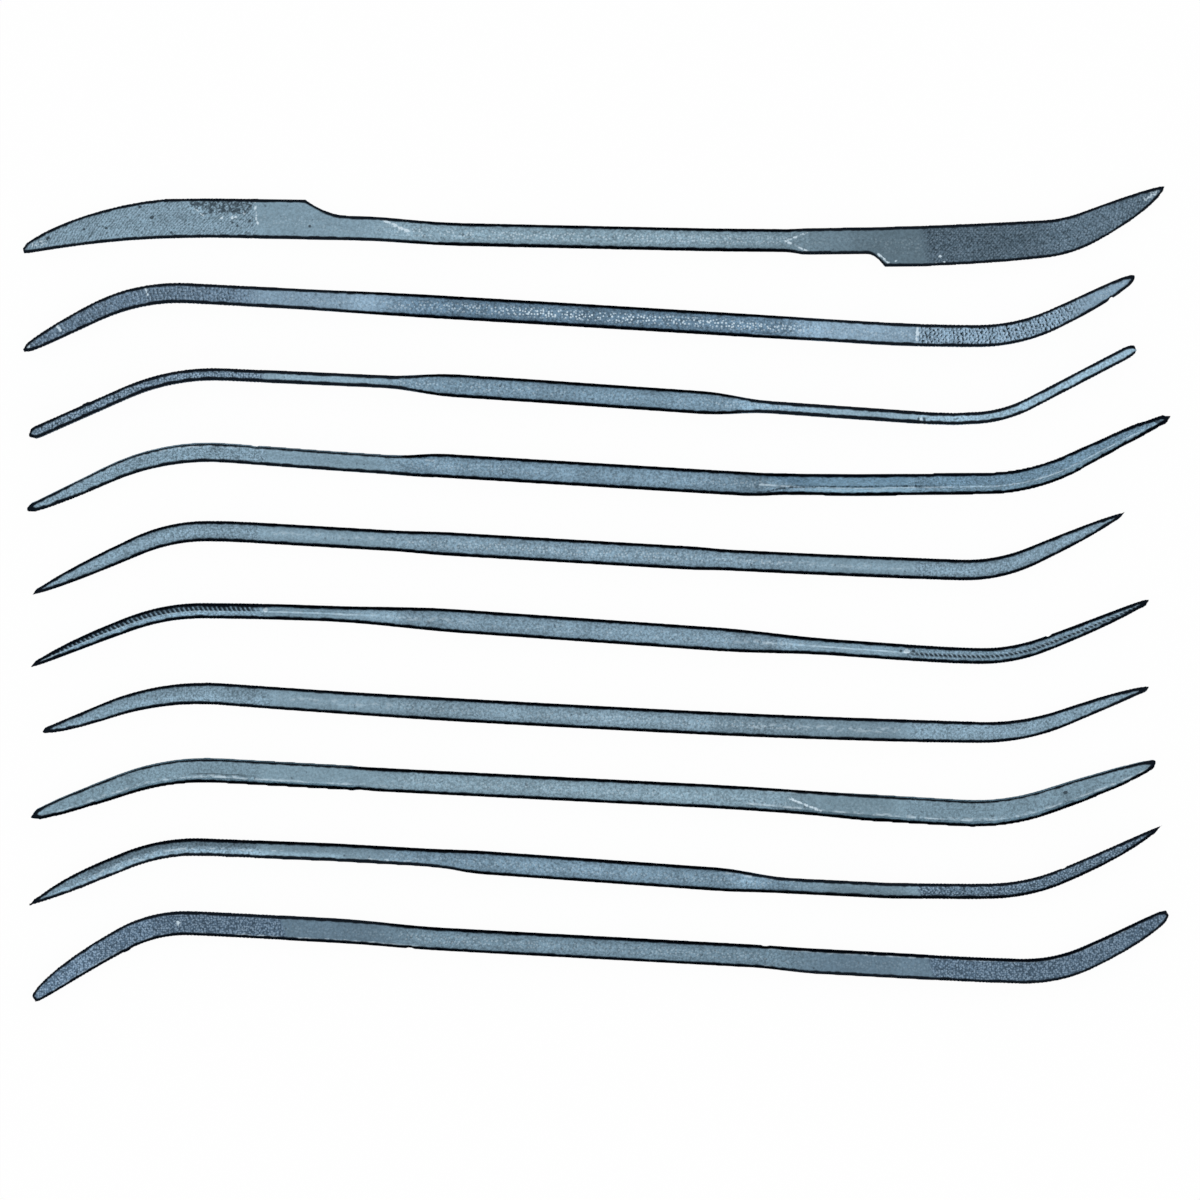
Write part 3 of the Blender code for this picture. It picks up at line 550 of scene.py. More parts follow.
class RifflerStageSettings(bpy.types.PropertyGroup):
    """The floor, the light and the camera."""

    floor_size: FloatProperty(
        name="Floor Size", description="Width of the floor", default=8.0, unit="LENGTH"
    )
    floor_colour: tint(name="Floor", description="Colour of the floor", default=(0.9, 0.9, 0.9))
    floor_glow_share: FloatProperty(
        name="Floor Glow",
        description="Share of the floor's white that the camera and the steel see without its shadows",
        default=0.96, subtype="FACTOR",
    )
    ceiling_strength: FloatProperty(
        name="Ceiling", description="Strength of the light straight from above", default=1.05
    )
    wall_strength: FloatProperty(
        name="Walls", description="Strength of the light from the side", default=0.8
    )
    lens: FloatProperty(name="Lens", description="Focal length of the camera", default=400.0, unit="CAMERA")


class RifflerRowSettings(bpy.types.PropertyGroup):
    """All sizes and colours of the row."""

    teeth: PointerProperty(type=RifflerTeethSettings)
    steel: PointerProperty(type=RifflerSteelSettings)
    stage: PointerProperty(type=RifflerStageSettings)


def activate(piece):
    """Only this piece selected, and active."""
    bpy.ops.object.select_all(action="DESELECT")
    piece.select_set(True)
    bpy.context.view_layer.objects.active = piece


def copy_of_solid(node, name):
    """The node's solid as a piece of its own, with its loose triangles joined up."""
    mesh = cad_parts[node].data.copy()
    mesh.name = name
    mesh.materials.clear()
    for layer in list(mesh.uv_layers):
        mesh.uv_layers.remove(layer)
    piece = bpy.data.objects.new(name, mesh)
    bpy.context.scene.collection.objects.link(piece)
    activate(piece)
    bpy.ops.object.mode_set(mode="EDIT")
    bpy.ops.mesh.select_all(action="SELECT")
    bpy.ops.mesh.remove_doubles(threshold=MERGE_DISTANCE)
    bpy.ops.object.mode_set(mode="OBJECT")
    bpy.ops.mesh.customdata_custom_splitnormals_clear()
    return piece


def put_through(piece, kind, **values):
    """Puts the piece through one modifier, set to these values, and applies it."""
    bpy.ops.object.modifier_add(type=kind)
    modifier = piece.modifiers[-1]
    for name, value in values.items():
        setattr(modifier, name, value)
    bpy.ops.object.modifier_apply(modifier=modifier.name)


def texture_named(name, kind, **values):
    """The texture of that name, made and set to these values when it's first used."""
    if name not in bpy.data.textures:
        texture = bpy.data.textures.new(name, type=kind)
        for key, value in values.items():
            setattr(texture, key, value)
    return bpy.data.textures[name]


def arris_points(piece):
    """Points along the sharp edges of the solid, as a tree to look the nearest one up in."""
    shape = bmesh.new()
    shape.from_mesh(piece.data)
    points = []
    for edge in shape.edges:
        if edge.calc_face_angle(0.0) > ARRIS_ANGLE:
            start, end = (corner.co for corner in edge.verts)
            steps = math.ceil(edge.calc_length() / ARRIS_STEP)
            points += [start.lerp(end, step / steps) for step in range(steps + 1)]
    shape.free()
    tree = KDTree(len(points))
    for number, point in enumerate(points):
        tree.insert(point, number)
    tree.balance()
    return tree


def places_of(piece):
    places = numpy.empty(3 * len(piece.data.vertices))
    piece.data.vertices.foreach_get("co", places)
    return places.reshape(-1, 3)


def turned_up(piece):
    """The upright share of each corner's normal, from -1 to 1."""
    normals = numpy.empty(3 * len(piece.data.vertices), dtype="f")
    piece.data.vertex_normals.foreach_get("vector", normals)
    return normals.reshape(-1, 3)[:, 2]


def write_values(piece, name, values):
    """Keeps one number for each corner, for the material to read."""
    layer = piece.data.attributes.new(name, "FLOAT", "POINT")
    layer.data.foreach_set("value", values.astype("f"))


def write_group(piece, name, weights):
    """Keeps one weight for each corner, in coarse steps, for a modifier to read."""
    group = piece.vertex_groups.new(name=name)
    steps = numpy.rint(weights * GROUP_STEPS).astype(int)
    for step in range(1, GROUP_STEPS + 1):
        chosen = numpy.flatnonzero(steps == step)
        if len(chosen):
            group.add(chosen.tolist(), step / GROUP_STEPS, "REPLACE")


def lay_of_file(places):
    """How far along the bent file and how far across it each corner lies, its side, and the outline.

    The side goes from 1 at the upper outline to -1 at the lower one.
    """
    x, y = places[:, 0], places[:, 1]
    stations = numpy.arange(x.min(), x.max() + LAY_STEP, LAY_STEP)
    slot = numpy.rint((x - stations[0]) / LAY_STEP).astype(int)
    high = numpy.full(len(stations), -numpy.inf)
    low = numpy.full(len(stations), numpy.inf)
    numpy.maximum.at(high, slot, y)
    numpy.minimum.at(low, slot, y)
    filled = numpy.isfinite(high)
    middle = numpy.interp(stations, stations[filled], 0.5 * (high[filled] + low[filled]))
    blur = numpy.ones(LAY_BLUR) / LAY_BLUR
    padded = numpy.pad(middle, LAY_BLUR // 2, mode="edge")
    middle = numpy.convolve(padded, blur, mode="valid")
    slope = numpy.gradient(middle, LAY_STEP)
    stretch = numpy.sqrt(1 + slope ** 2)
    lengths = numpy.cumsum(stretch) * LAY_STEP
    offset = y - numpy.interp(x, stations, middle)
    here_slope, here_stretch = (numpy.interp(x, stations, v) for v in (slope, stretch))
    along = numpy.interp(x, stations, lengths) + offset * here_slope / here_stretch
    half_width = numpy.interp(x, stations[filled], 0.5 * (high[filled] - low[filled]))
    fine = numpy.arange(x.min(), x.max(), OUTLINE_STEP)
    edges = {
        UPPER: numpy.interp(fine, stations[filled], high[filled]),
        LOWER: numpy.interp(fine, stations[filled], low[filled]),
    }
    outline = {side: numpy.column_stack((fine, edge)) for side, edge in edges.items()}
    return along, offset / here_stretch, offset / half_width, outline


def ease(values, start, end):
    """0 up to the start, 1 from the end on, and smooth between."""
    share = numpy.clip((values - start) / (end - start), 0, 1)
    return share * share * (3 - 2 * share)


def toothed(places, across, blade, direction):
    """1 where a blade has teeth and 0 where it has none. Right is direction 1, and left is -1."""
    outwards = places[:, 0] * direction
    inwards = outwards - (blade.start + across * blade.slant) * direction
    away_from_tip = 1 - ease(outwards, blade.tip - TIP_FADE, blade.tip + TIP_FADE)
    return away_from_tip * ease(inwards, -blade.fade, blade.fade)


def insets(places, outline):
    """How far in from the outline, seen from above, each corner lies."""
    points = numpy.concatenate(list(outline.values()))
    tree = KDTree(len(points))
    for number, point in enumerate(points):
        tree.insert((*point, 0.0), number)
    tree.balance()
    return numpy.array([tree.find((x, y, 0.0))[2] for x, y, z in places])


def near_tips(places, both_sides):
    """How much of a needle the left tip and the right tip are, and 0 away from them."""
    x = places[:, 0]
    left = both_sides.left_tip * (1 - ease(x - x.min(), 0.0, TIP_REACH))
    return left, both_sides.right_tip * (1 - ease(x.max() - x, 0.0, TIP_REACH))


def near_marks(places, marks):
    """How strong the marks are at each corner, and 0 away from them."""
    result = numpy.zeros(len(places))
    for mark in marks:
        start, end = numpy.array(mark.start), numpy.array(mark.end)
        run = end - start
        share = numpy.clip(((places[:, :2] - start) @ run) / max(run @ run, MERGE_DISTANCE ** 2), 0, 1)
        distance = numpy.linalg.norm(places[:, :2] - start - share[:, None] * run, axis=1)
        weight = mark.strength * (1 - ease(distance, MARK_CORE * mark.width, mark.width))
        result = numpy.maximum(result, weight)
    return result


def on_outline(nicks, outline, direction):
    """The nicks that push the outline up (1) or down (-1), as marks as strong as they are deep."""
    marks = []
    for dip in nicks:
        stations, edge = outline[dip.side].T
        place = (dip.x, numpy.interp(dip.x, stations, edge))
        push = -dip.side * direction * dip.depth
        if push > 0:
            marks.append(Mark(place, place, dip.width, push / NICK_DEPTH))
    return marks


def near_bands(places, side, bands):
    """The sum of all bands at each corner."""
    result = numpy.zeros(len(places))
    x = places[:, 0]
    for strip in bands:
        begun = ease(x, strip.start - BAND_FADE, strip.start + BAND_FADE)
        ended = ease(x, strip.end - BAND_FADE, strip.end + BAND_FADE)
        full, over = (share * strip.width for share in BAND_EDGES)
        beside = ease(numpy.abs(side - strip.middle), full, over)
        result += strip.strength * begun * (1 - ended) * (1 - beside)
    return result


def cut_rows(piece, group, rows, name, depth):
    """Cuts one set of parallel rows, numbered by the given values, with a band texture."""
    layer = piece.data.uv_layers.new(name=name)
    corners = numpy.empty(len(piece.data.loops), dtype=int)
    piece.data.loops.foreach_get("vertex_index", corners)
    flat_places = numpy.zeros((len(corners), 2), dtype="f")
    flat_places[:, 0] = (BAND_START + rows * BAND_PERIOD)[corners]
    layer.uv.foreach_set("vector", flat_places.ravel())
    bands = texture_named(name, "WOOD", wood_type="BANDS", noise_basis_2="SAW")
    laid = {"texture": bands, "texture_coords": "UV", "uv_layer": name}
    put_through(piece, "DISPLACE", **laid, vertex_group=group, mid_level=1.0, strength=depth)
    piece.data.uv_layers.remove(piece.data.uv_layers[name])


def dent(piece, group, size, depth):
    """Roughens the skin with soft dents of one size."""
    clouds = texture_named("forged_dents", "CLOUDS", noise_scale=size, noise_depth=1)
    laid = {"texture": clouds, "texture_coords": "LOCAL"}
    put_through(piece, "DISPLACE", **laid, vertex_group=group, mid_level=1.0, strength=depth)


def shape_file(piece, teeth, traces, settings):
    """Rounds the facets off, cuts the teeth, nicks and dents, and notes where all of them are."""
    activate(piece)
    tree = arris_points(piece)
    put_through(piece, "REMESH", mode="VOXEL", voxel_size=settings.face_size)
    places = places_of(piece)
    along, across, side, outline = lay_of_file(places)
    distance = numpy.array([tree.find(place)[2] for place in places])
    arris = 1 - ease(distance, ARRIS_CORE, ARRIS_WIDTH)
    left_cut = toothed(places, across, teeth.left, -1)
    right_cut = toothed(places, across, teeth.right, 1)
    both_cuts = left_cut + right_cut
    left_tip, right_tip = near_tips(places, traces.sides)
    notched = near_bands(places, side, traces.notches)
    groups = {
        "smoothed": 1 - arris,
        "cut": both_cuts,
        "notched": notched,
        "skin": (1 - both_cuts) * (1 - arris),
        "upward": near_marks(places, on_outline(traces.nicks, outline, 1)),
        "downward": near_marks(places, on_outline(traces.nicks, outline, -1)),
        "upper": ease(side, *PUSHED_SIDE),
        "lower": ease(-side, *PUSHED_SIDE),
        "upper_tip": left_tip * ease(side, *PUSHED_TIP),
        "lower_tip": right_tip * ease(-side, *PUSHED_TIP),
    }
    for name, weights in groups.items():
        write_group(piece, name, weights)

    put_through(piece, "SMOOTH", factor=0.5, iterations=settings.smoothing, vertex_group="smoothed")
    on_side = 1 - ease(turned_up(piece), 0.0, SIDE_TURN)
    rows = (along + across * teeth.overcut_lean) / teeth.pitch
    cut_rows(piece, "cut", rows, "overcut", OVERCUT_SHARE * teeth.depth)
    rows = (along - across * teeth.upcut_lean) / (teeth.pitch * settings.upcut_pitch_share)
    cut_rows(piece, "cut", rows, "upcut", (1 - OVERCUT_SHARE) * teeth.depth)
    if traces.notches:
        rows = (along + across * NOTCH_LEAN) / NOTCH_PITCH
        cut_rows(piece, "notched", rows, "notches", NOTCH_DEPTH)
    pushes = {
        "upper": traces.sides.gain,
        "lower": -traces.sides.gain,
        "upper_tip": TIP_SWELL,
        "lower_tip": -TIP_SWELL,
        "upward": NICK_DEPTH,
        "downward": -NICK_DEPTH,
    }
    for name, reach in pushes.items():
        put_through(piece, "DISPLACE", direction="Y", vertex_group=name, mid_level=0.0, strength=reach)
    dent(piece, "skin", settings.dent_size, settings.dent_depth)
    piece.vertex_groups.clear()

    def by_blade(field):
        """One value of the two cuts, faded in with their teeth."""
        return left_cut * getattr(teeth.left, field) + right_cut * getattr(teeth.right, field)

    # How far in from the outline each corner lies for the painted edge shade. It is less at needle tips, so
    # that the shade closes over them, and more where the surface turns down.
    skin = insets(places, outline) - TIP_PAINTED_SHADE * (left_tip + right_tip)
    values = {
        "arris": arris, "cut": both_cuts, "along": along, "across": across, "notch": notched,
        "shade": by_blade("shade"),
        "contrast": by_blade("contrast"),
        "loose": by_blade("loose"),
        "share": numpy.where(places[:, 0] < 0, teeth.left.share, teeth.right.share),
        "inset": skin + SIDE_INSET * on_side,
        # The band along the middle where the painted highlight lies.
        "middle": 1 - ease(numpy.abs(side), *MIDDLE_HIGHLIGHT),
        "forged": ease(-numpy.abs(places[:, 0]), -FORGED_END, -FORGED_START),
        "bright": near_marks(places, traces.bright),
        "dark": near_marks(places, traces.dark),
        # Lighter and darker bands, partly the steel's own tone and partly painted light and shade, and
        # broken lines of painted highlight.
        "tone": near_bands(places, side, traces.tones),
        "streak": near_bands(places, side, traces.streaks),
    }
    for name, kept_values in values.items():
        write_values(piece, name, kept_values)


def feed(tree, socket, value):
    """Links a socket to another one, or sets it."""
    if isinstance(value, bpy.types.NodeSocket):
        tree.links.new(value, socket)
    else:
        socket.default_value = value


def arithmetic(tree, operation, first, second=0.0, clamped=False):
    """One step of arithmetic on masks, as a Math node."""
    node = tree.nodes.new("ShaderNodeMath")
    node.operation = operation
    node.use_clamp = clamped
    feed(tree, node.inputs[0], first)
    feed(tree, node.inputs[1], second)
    return node.outputs[0]


def plus(tree, first, second):
    return arithmetic(tree, "ADD", first, second)


def minus(tree, first, second, clamped=False):
    return arithmetic(tree, "SUBTRACT", first, second, clamped)


def product(tree, first, second, clamped=False):
    return arithmetic(tree, "MULTIPLY", first, second, clamped)


def ramp(tree, value, low, high, bottom=0.0, top=1.0, kind="SMOOTHSTEP"):
    """A rise from the bottom to the top value between two limits."""
    node = tree.nodes.new("ShaderNodeMapRange")
    node.interpolation_type = kind
    for name, limit in zip(("From Min", "From Max", "To Min", "To Max"), (low, high, bottom, top)):
        feed(tree, node.inputs[name], limit)
    feed(tree, node.inputs["Value"], value)
    return node.outputs["Result"]


def grain(tree, place, kind, stretch=None):
    """Noise of one kind, drawn out if there's a stretch."""
    if stretch:
        mapping = tree.nodes.new("ShaderNodeMapping")
        mapping.inputs["Scale"].default_value = stretch
        feed(tree, mapping.inputs["Vector"], place)
        place = mapping.outputs["Vector"]
    node = tree.nodes.new("ShaderNodeTexNoise")
    feed(tree, node.inputs["Vector"], place)
    for name, value in zip(("Scale", "Detail", "Roughness"), kind):
        node.inputs[name].default_value = value
    return node.outputs[0]


def wander(tree, place, kind, reach):
    """Noise that wanders between -reach and reach."""
    return ramp(tree, grain(tree, place, kind), *NOISE_SPAN, -reach, reach)


def dots_of(tree, place, scale):
    """How far the nearest of many dots is, with so many dots to the metre."""
    node = tree.nodes.new("ShaderNodeTexVoronoi")
    feed(tree, node.inputs["Vector"], place)
    node.inputs["Scale"].default_value = scale
    node.inputs["Randomness"].default_value = DOT_RANDOMNESS
    return node.outputs["Distance"]


def blend(tree, share, first, second):
    """A mix of two colours."""
    node = tree.nodes.new("ShaderNodeMix")
    node.data_type = "RGBA"
    feed(tree, node.inputs["Factor"], share)
    for name, colour in (("A", first), ("B", second)):
        socket = next(s for s in node.inputs if s.name == name and s.type == "RGBA")
        feed(tree, socket, colour if isinstance(colour, bpy.types.NodeSocket) else (*colour, 1.0))
    return next(s for s in node.outputs if s.type == "RGBA")


def times(tree, colour, value):
    """A colour made lighter or darker."""
    node = tree.nodes.new("ShaderNodeVectorMath")
    node.operation = "SCALE"
    feed(tree, node.inputs["Vector"], colour)
    feed(tree, node.inputs["Scale"], value)
    return node.outputs["Vector"]


def kept(tree, name):
    """A number that the mesh keeps for each corner."""
    node = tree.nodes.new("ShaderNodeAttribute")
    node.attribute_name = name
    return node.outputs["Fac"]


def use_group(tree, name, fill, **values):
    """The outputs of the shared group of that name, which is filled when it's first used.

    An input named Place is a vector, and all others are numbers.
    """
    values = {key.replace("_", " ").title(): value for key, value in values.items()}
    if name not in bpy.data.node_groups:
        group = bpy.data.node_groups.new(name, "ShaderNodeTree")
        for label in values:
            kind = "NodeSocketVector" if label == "Place" else "NodeSocketFloat"
            group.interface.new_socket(name=label, in_out="INPUT", socket_type=kind)
        results = fill(group, group.nodes.new("NodeGroupInput").outputs)
        for label in results:
            group.interface.new_socket(name=label, in_out="OUTPUT", socket_type="NodeSocketFloat")
        ends = group.nodes.new("NodeGroupOutput").inputs
        for label, value in results.items():
            feed(group, ends[label], value)
    node = tree.nodes.new("ShaderNodeGroup")
    node.node_tree = bpy.data.node_groups[name]
    for label, value in values.items():
        feed(tree, node.inputs[label], value)
    return node.outputs


def forged_skin(group, given):
    """Fine and broad unevenness of forged steel, with its pits, the flecks that break up the painted
    highlight, and stipple.
    """
    place = given["Place"]
    fine = grain(group, place, FINE_GRAIN)
    broad = grain(group, place, BROAD_GRAIN)
    speckled = ramp(group, fine, *SPECKLE_RAMP)
    pits = grain(group, place, PIT_GRAIN)
    flecks = ramp(group, dots_of(group, place, FLECK_DOTS), *FLECK_RAMP)
    patches = grain(group, place, FLECK_PATCHES, PATCH_STRETCH)
    dots = ramp(group, dots_of(group, place, STIPPLE_DOTS), *STIPPLE_RAMP)
    return {
        "Tone": product(group, speckled, ramp(group, broad, *BROAD_RAMP)),
        "Pits": ramp(group, pits, *PIT_RAMP),
        "Flecks": product(group, flecks, ramp(group, patches, *PATCH_RAMP)),
        "Stipple": plus(group, dots, wander(group, place, STIPPLE_GRAIN, STIPPLE_REACH)),
        "Height": fine,
    }


def tooth_rows(group, given):
    """One set of rows of teeth, from how far along and across the file a point lies."""
    shifted = plus(group, given["Along"], product(group, given["Across"], given["Lean"]))
    row = arithmetic(group, "DIVIDE", shifted, given["Pitch"])
    return {"Height": arithmetic(group, "FRACT", row)}


def marks_and_streaks(group, given):
    """Makes marks ragged and the lines of painted highlight broken. These lines are drawn out along the
    file.
    """
    ragged = wander(group, given["Place"], RAGGED_GRAIN, RAGGED_REACH)
    results = {}
    for label in ("Bright", "Dark"):
        marked = product(group, given[label], RAGGED_GAIN, clamped=True)
        edge = plus(group, given[label], product(group, ragged, marked))
        results[label] = ramp(group, edge, *MARK_RAMP)
    lay = group.nodes.new("ShaderNodeCombineXYZ")
    feed(group, lay.inputs["X"], given["Along"])
    feed(group, lay.inputs["Y"], given["Across"])
    dashes = grain(group, lay.outputs["Vector"], DASH_GRAIN, DASH_STRETCH)
    results["Streak"] = product(group, given["Streak"], ramp(group, dashes, *DASH_RAMP))
    return results


def arris_wear(group, given):
    """Bright wear along an arris, broken up."""
    broken = ramp(group, grain(group, given["Place"], WEAR_GRAIN), *WEAR_RAMP)
    return {"Wear": product(group, ramp(group, given["Arris"], *ARRIS_RAMP), broken)}


def painted_edge_shade(group, given):
    """Painted shade along the upper edges, a near-black rim, from how far in from the outline a point lies.
    """
    uneven = wander(group, given["Place"], EDGE_GRAIN, EDGE_REACH)
    inset = plus(group, given["Inset"], product(group, uneven, given["Fade"]))
    end = plus(group, given["Dark Width"], given["Fade"])
    return {"Dark": minus(group, 1.0, ramp(group, inset, given["Dark Width"], end))}


def principled(material):
    return material.node_tree.nodes["Principled BSDF"]


def steel(name, look, teeth, row):
    """Blue-grey steel: ground blades, forged handle, cut teeth, worn arrises, and painted light and shade:
    on the teeth, along the middle, in bands and lines, and as a dark rim at the edges.
    """
    settings = row.steel
    material = bpy.data.materials.new(name)
    material.use_nodes = True
    tree = material.node_tree
    place = tree.nodes.new("ShaderNodeTexCoord").outputs["Object"]
    along, across, share = (kept(tree, value) for value in ("along", "across", "share"))
    toothed_part, forged, contrast = (kept(tree, value) for value in ("cut", "forged", "contrast"))
    skin = use_group(tree, "Forged Skin", forged_skin, place=place)
    wear = use_group(tree, "Arris Wear", arris_wear, place=place, arris=kept(tree, "arris"))
    # The painted edge shade along the upper outline.
    spread = {"dark_width": settings.edge_width, "fade": settings.painted_shade_fade}
    edge = use_group(tree, "Painted Edge Shade", painted_edge_shade, place=place, inset=kept(tree, "inset"), **spread)
    given = {value: kept(tree, value) for value in ("bright", "dark", "streak")}
    given.update(place=place, along=along, across=across)
    traces = use_group(tree, "Marks And Streaks", marks_and_streaks, **given)

    def rows(start, pitch, lean):
        lay = {"along": start, "across": across, "pitch": pitch, "lean": lean}
        return use_group(tree, "Tooth Rows", tooth_rows, **lay)["Height"]

    wavering = plus(tree, along, wander(tree, place, WAVER_GRAIN, WAVER))
    overcut = rows(wavering, teeth.pitch, teeth.overcut_lean)
    upcut = rows(wavering, teeth.pitch * row.teeth.upcut_pitch_share, -teeth.upcut_lean)
    upcut = product(tree, upcut, minus(tree, 1.0, share))
    ordered = plus(tree, product(tree, overcut, share), upcut)
    loose = product(tree, minus(tree, skin["Stipple"], ordered), kept(tree, "loose"))
    relief = plus(tree, ordered, loose)

    colour = blend(tree, forged, look.ground, look.forged)
    # Painted shade of the cut: the toothed parts are darkened towards the cut colour.
    colour = blend(tree, kept(tree, "shade"), colour, settings.cut)
    uncovered = arithmetic(tree, "MAXIMUM", forged, toothed_part)
    speckle = ramp(tree, uncovered, 0.0, 1.0, GROUND_GRAIN_SHARE * look.grain, look.grain)
    unevenness = product(tree, minus(tree, skin["Tone"], 1.0), speckle)
    colour = times(tree, colour, plus(tree, 1.0, unevenness))
    # Painted shade in the hollows of the teeth and painted highlight on their crests. The loose grain among
    # them shows as bright points.
    hollow_shade = product(tree, ramp(tree, relief, *HOLLOW_RAMP), contrast)
    colour = times(tree, colour, minus(tree, 1.0, hollow_shade))
    crest_highlight = product(tree, ramp(tree, relief, *CREST_RAMP), contrast)
    colour = blend(tree, crest_highlight, colour, settings.crest_highlight)
    # Lighter and darker bands, partly the steel's own tone and partly painted light and shade.
    colour = times(tree, colour, plus(tree, 1.0, kept(tree, "tone")))
    # Painted highlight along the middle, broken into flecks. It is strongest on the forged handle and kept
    # off the teeth.
    rubbed = product(tree, kept(tree, "middle"), ramp(tree, forged, *MIDDLE_HIGHLIGHT_RAMP))
    rubbed = product(tree, rubbed, minus(tree, 1.0, toothed_part))
    flecks = product(tree, skin["Flecks"], product(tree, rubbed, look.flecks))
    worn = product(tree, wear["Wear"], look.wear)
    # Painted shade in the gaps of the notches.
    notch_gap_shade = ramp(tree, rows(along, NOTCH_PITCH, NOTCH_LEAN), *NOTCH_RAMP)
    layers = (
        (product(tree, skin["Pits"], settings.pit_strength), settings.pit),
        (flecks, settings.fleck),
        (worn, settings.fleck),
        (product(tree, notch_gap_shade, kept(tree, "notch")), settings.pit),
        # Broken lines of painted highlight along the files.
        (traces["Streak"], settings.fleck),
        (traces["Bright"], settings.fleck),
        (traces["Dark"], settings.pit),
        # The painted edge shade, a near-black rim along the upper outline.
        (edge["Dark"], settings.edge),
    )
    for strength, layer in layers:
        colour = blend(tree, strength, colour, layer)

    shader = principled(material)
    feed(tree, shader.inputs["Base Color"], colour)
    shader.inputs["Metallic"].default_value = 1.0
    shader.inputs["Specular Tint"].default_value = (*settings.grazing, 1.0)
    smoothest, roughest = (settings.roughness + change for change in ROUGHNESS_CHANGES)
    rough = ramp(tree, skin["Height"], *NOISE_SPAN, smoothest, roughest)
    rough = plus(tree, rough, product(tree, toothed_part, TOOTH_ROUGHNESS))
    rough = minus(tree, rough, product(tree, worn, WORN_SMOOTHNESS), clamped=True)
    feed(tree, shader.inputs["Roughness"], rough)
    bump = tree.nodes.new("ShaderNodeBump")
    bump.inputs["Strength"].default_value = BUMP_STRENGTH
    bump.inputs["Distance"].default_value = settings.grain_depth
    tooth_height = product(tree, relief, contrast)
    feed(tree, bump.inputs["Height"], plus(tree, skin["Height"], tooth_height))
    feed(tree, shader.inputs["Normal"], bump.outputs["Normal"])
    return material


def dress_file(kind, teeth, look, traces, context):
    """Makes one file from its solid, finishes it and hangs it on its body."""
    node, name = kind + "_riffler", kind + "_file"
    row = context.scene.riffler_row
    piece = copy_of_solid(node, name)
    shape_file(piece, teeth, traces, row.teeth)
    bpy.ops.object.shade_smooth()
    piece.data.materials.append(steel(name + "_steel", look, teeth, row))
    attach(piece, node)
    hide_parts(node)
    return piece


class RIFFLER_OT_knife(bpy.types.Operator):
    """Makes the knife file, at the top of the row."""

    bl_idname = "riffler.knife"
    bl_label = "Knife File"

    def execute(self, context):
        dress_file("knife", KNIFE_TEETH, KNIFE_LOOK, KNIFE_TRACES, context)
        return {"FINISHED"}


class RIFFLER_OT_square(bpy.types.Operator):
    """Makes the square file."""

    bl_idname = "riffler.square"
    bl_label = "Square File"

    def execute(self, context):
        dress_file("square", SQUARE_TEETH, SQUARE_LOOK, SQUARE_TRACES, context)
        return {"FINISHED"}


class RIFFLER_OT_flat(bpy.types.Operator):
    """Makes the flat file, which lies on its edges."""

    bl_idname = "riffler.flat"
    bl_label = "Flat File"

    def execute(self, context):
        dress_file("flat", FLAT_TEETH, FLAT_LOOK, FLAT_TRACES, context)
        return {"FINISHED"}


class RIFFLER_OT_three_square(bpy.types.Operator):
    """Makes the three-square file."""

    bl_idname = "riffler.three_square"
    bl_label = "Three-Square File"

    def execute(self, context):
        dress_file("three_square", THREE_SQUARE_TEETH, THREE_SQUARE_LOOK, THREE_SQUARE_TRACES, context)
        return {"FINISHED"}


class RIFFLER_OT_round(bpy.types.Operator):
    """Makes the round file."""

    bl_idname = "riffler.round"
    bl_label = "Round File"

    def execute(self, context):
        dress_file("round", ROUND_TEETH, ROUND_LOOK, ROUND_TRACES, context)
        return {"FINISHED"}


class RIFFLER_OT_crossing(bpy.types.Operator):
    """Makes the crossing file."""

    bl_idname = "riffler.crossing"
    bl_label = "Crossing File"

    def execute(self, context):
        dress_file("crossing", CROSSING_TEETH, CROSSING_LOOK, CROSSING_TRACES, context)
        return {"FINISHED"}


class RIFFLER_OT_oval(bpy.types.Operator):
    """Makes the oval file."""

    bl_idname = "riffler.oval"
    bl_label = "Oval File"

    def execute(self, context):
        dress_file("oval", OVAL_TEETH, OVAL_LOOK, OVAL_TRACES, context)
        return {"FINISHED"}


class RIFFLER_OT_barrette(bpy.types.Operator):
    """Makes the barrette file."""

    bl_idname = "riffler.barrette"
    bl_label = "Barrette File"

    def execute(self, context):
        dress_file("barrette", BARRETTE_TEETH, BARRETTE_LOOK, BARRETTE_TRACES, context)
        return {"FINISHED"}


class RIFFLER_OT_half_round(bpy.types.Operator):
    """Makes the half-round file."""

    bl_idname = "riffler.half_round"
    bl_label = "Half-Round File"

    def execute(self, context):
        dress_file("half_round", HALF_ROUND_TEETH, HALF_ROUND_LOOK, HALF_ROUND_TRACES, context)
        return {"FINISHED"}


class RIFFLER_OT_pillar(bpy.types.Operator):
    """Makes the pillar file, at the bottom of the row."""

    bl_idname = "riffler.pillar"
    bl_label = "Pillar File"

    def execute(self, context):
        dress_file("pillar", PILLAR_TEETH, PILLAR_LOOK, PILLAR_TRACES, context)
        return {"FINISHED"}


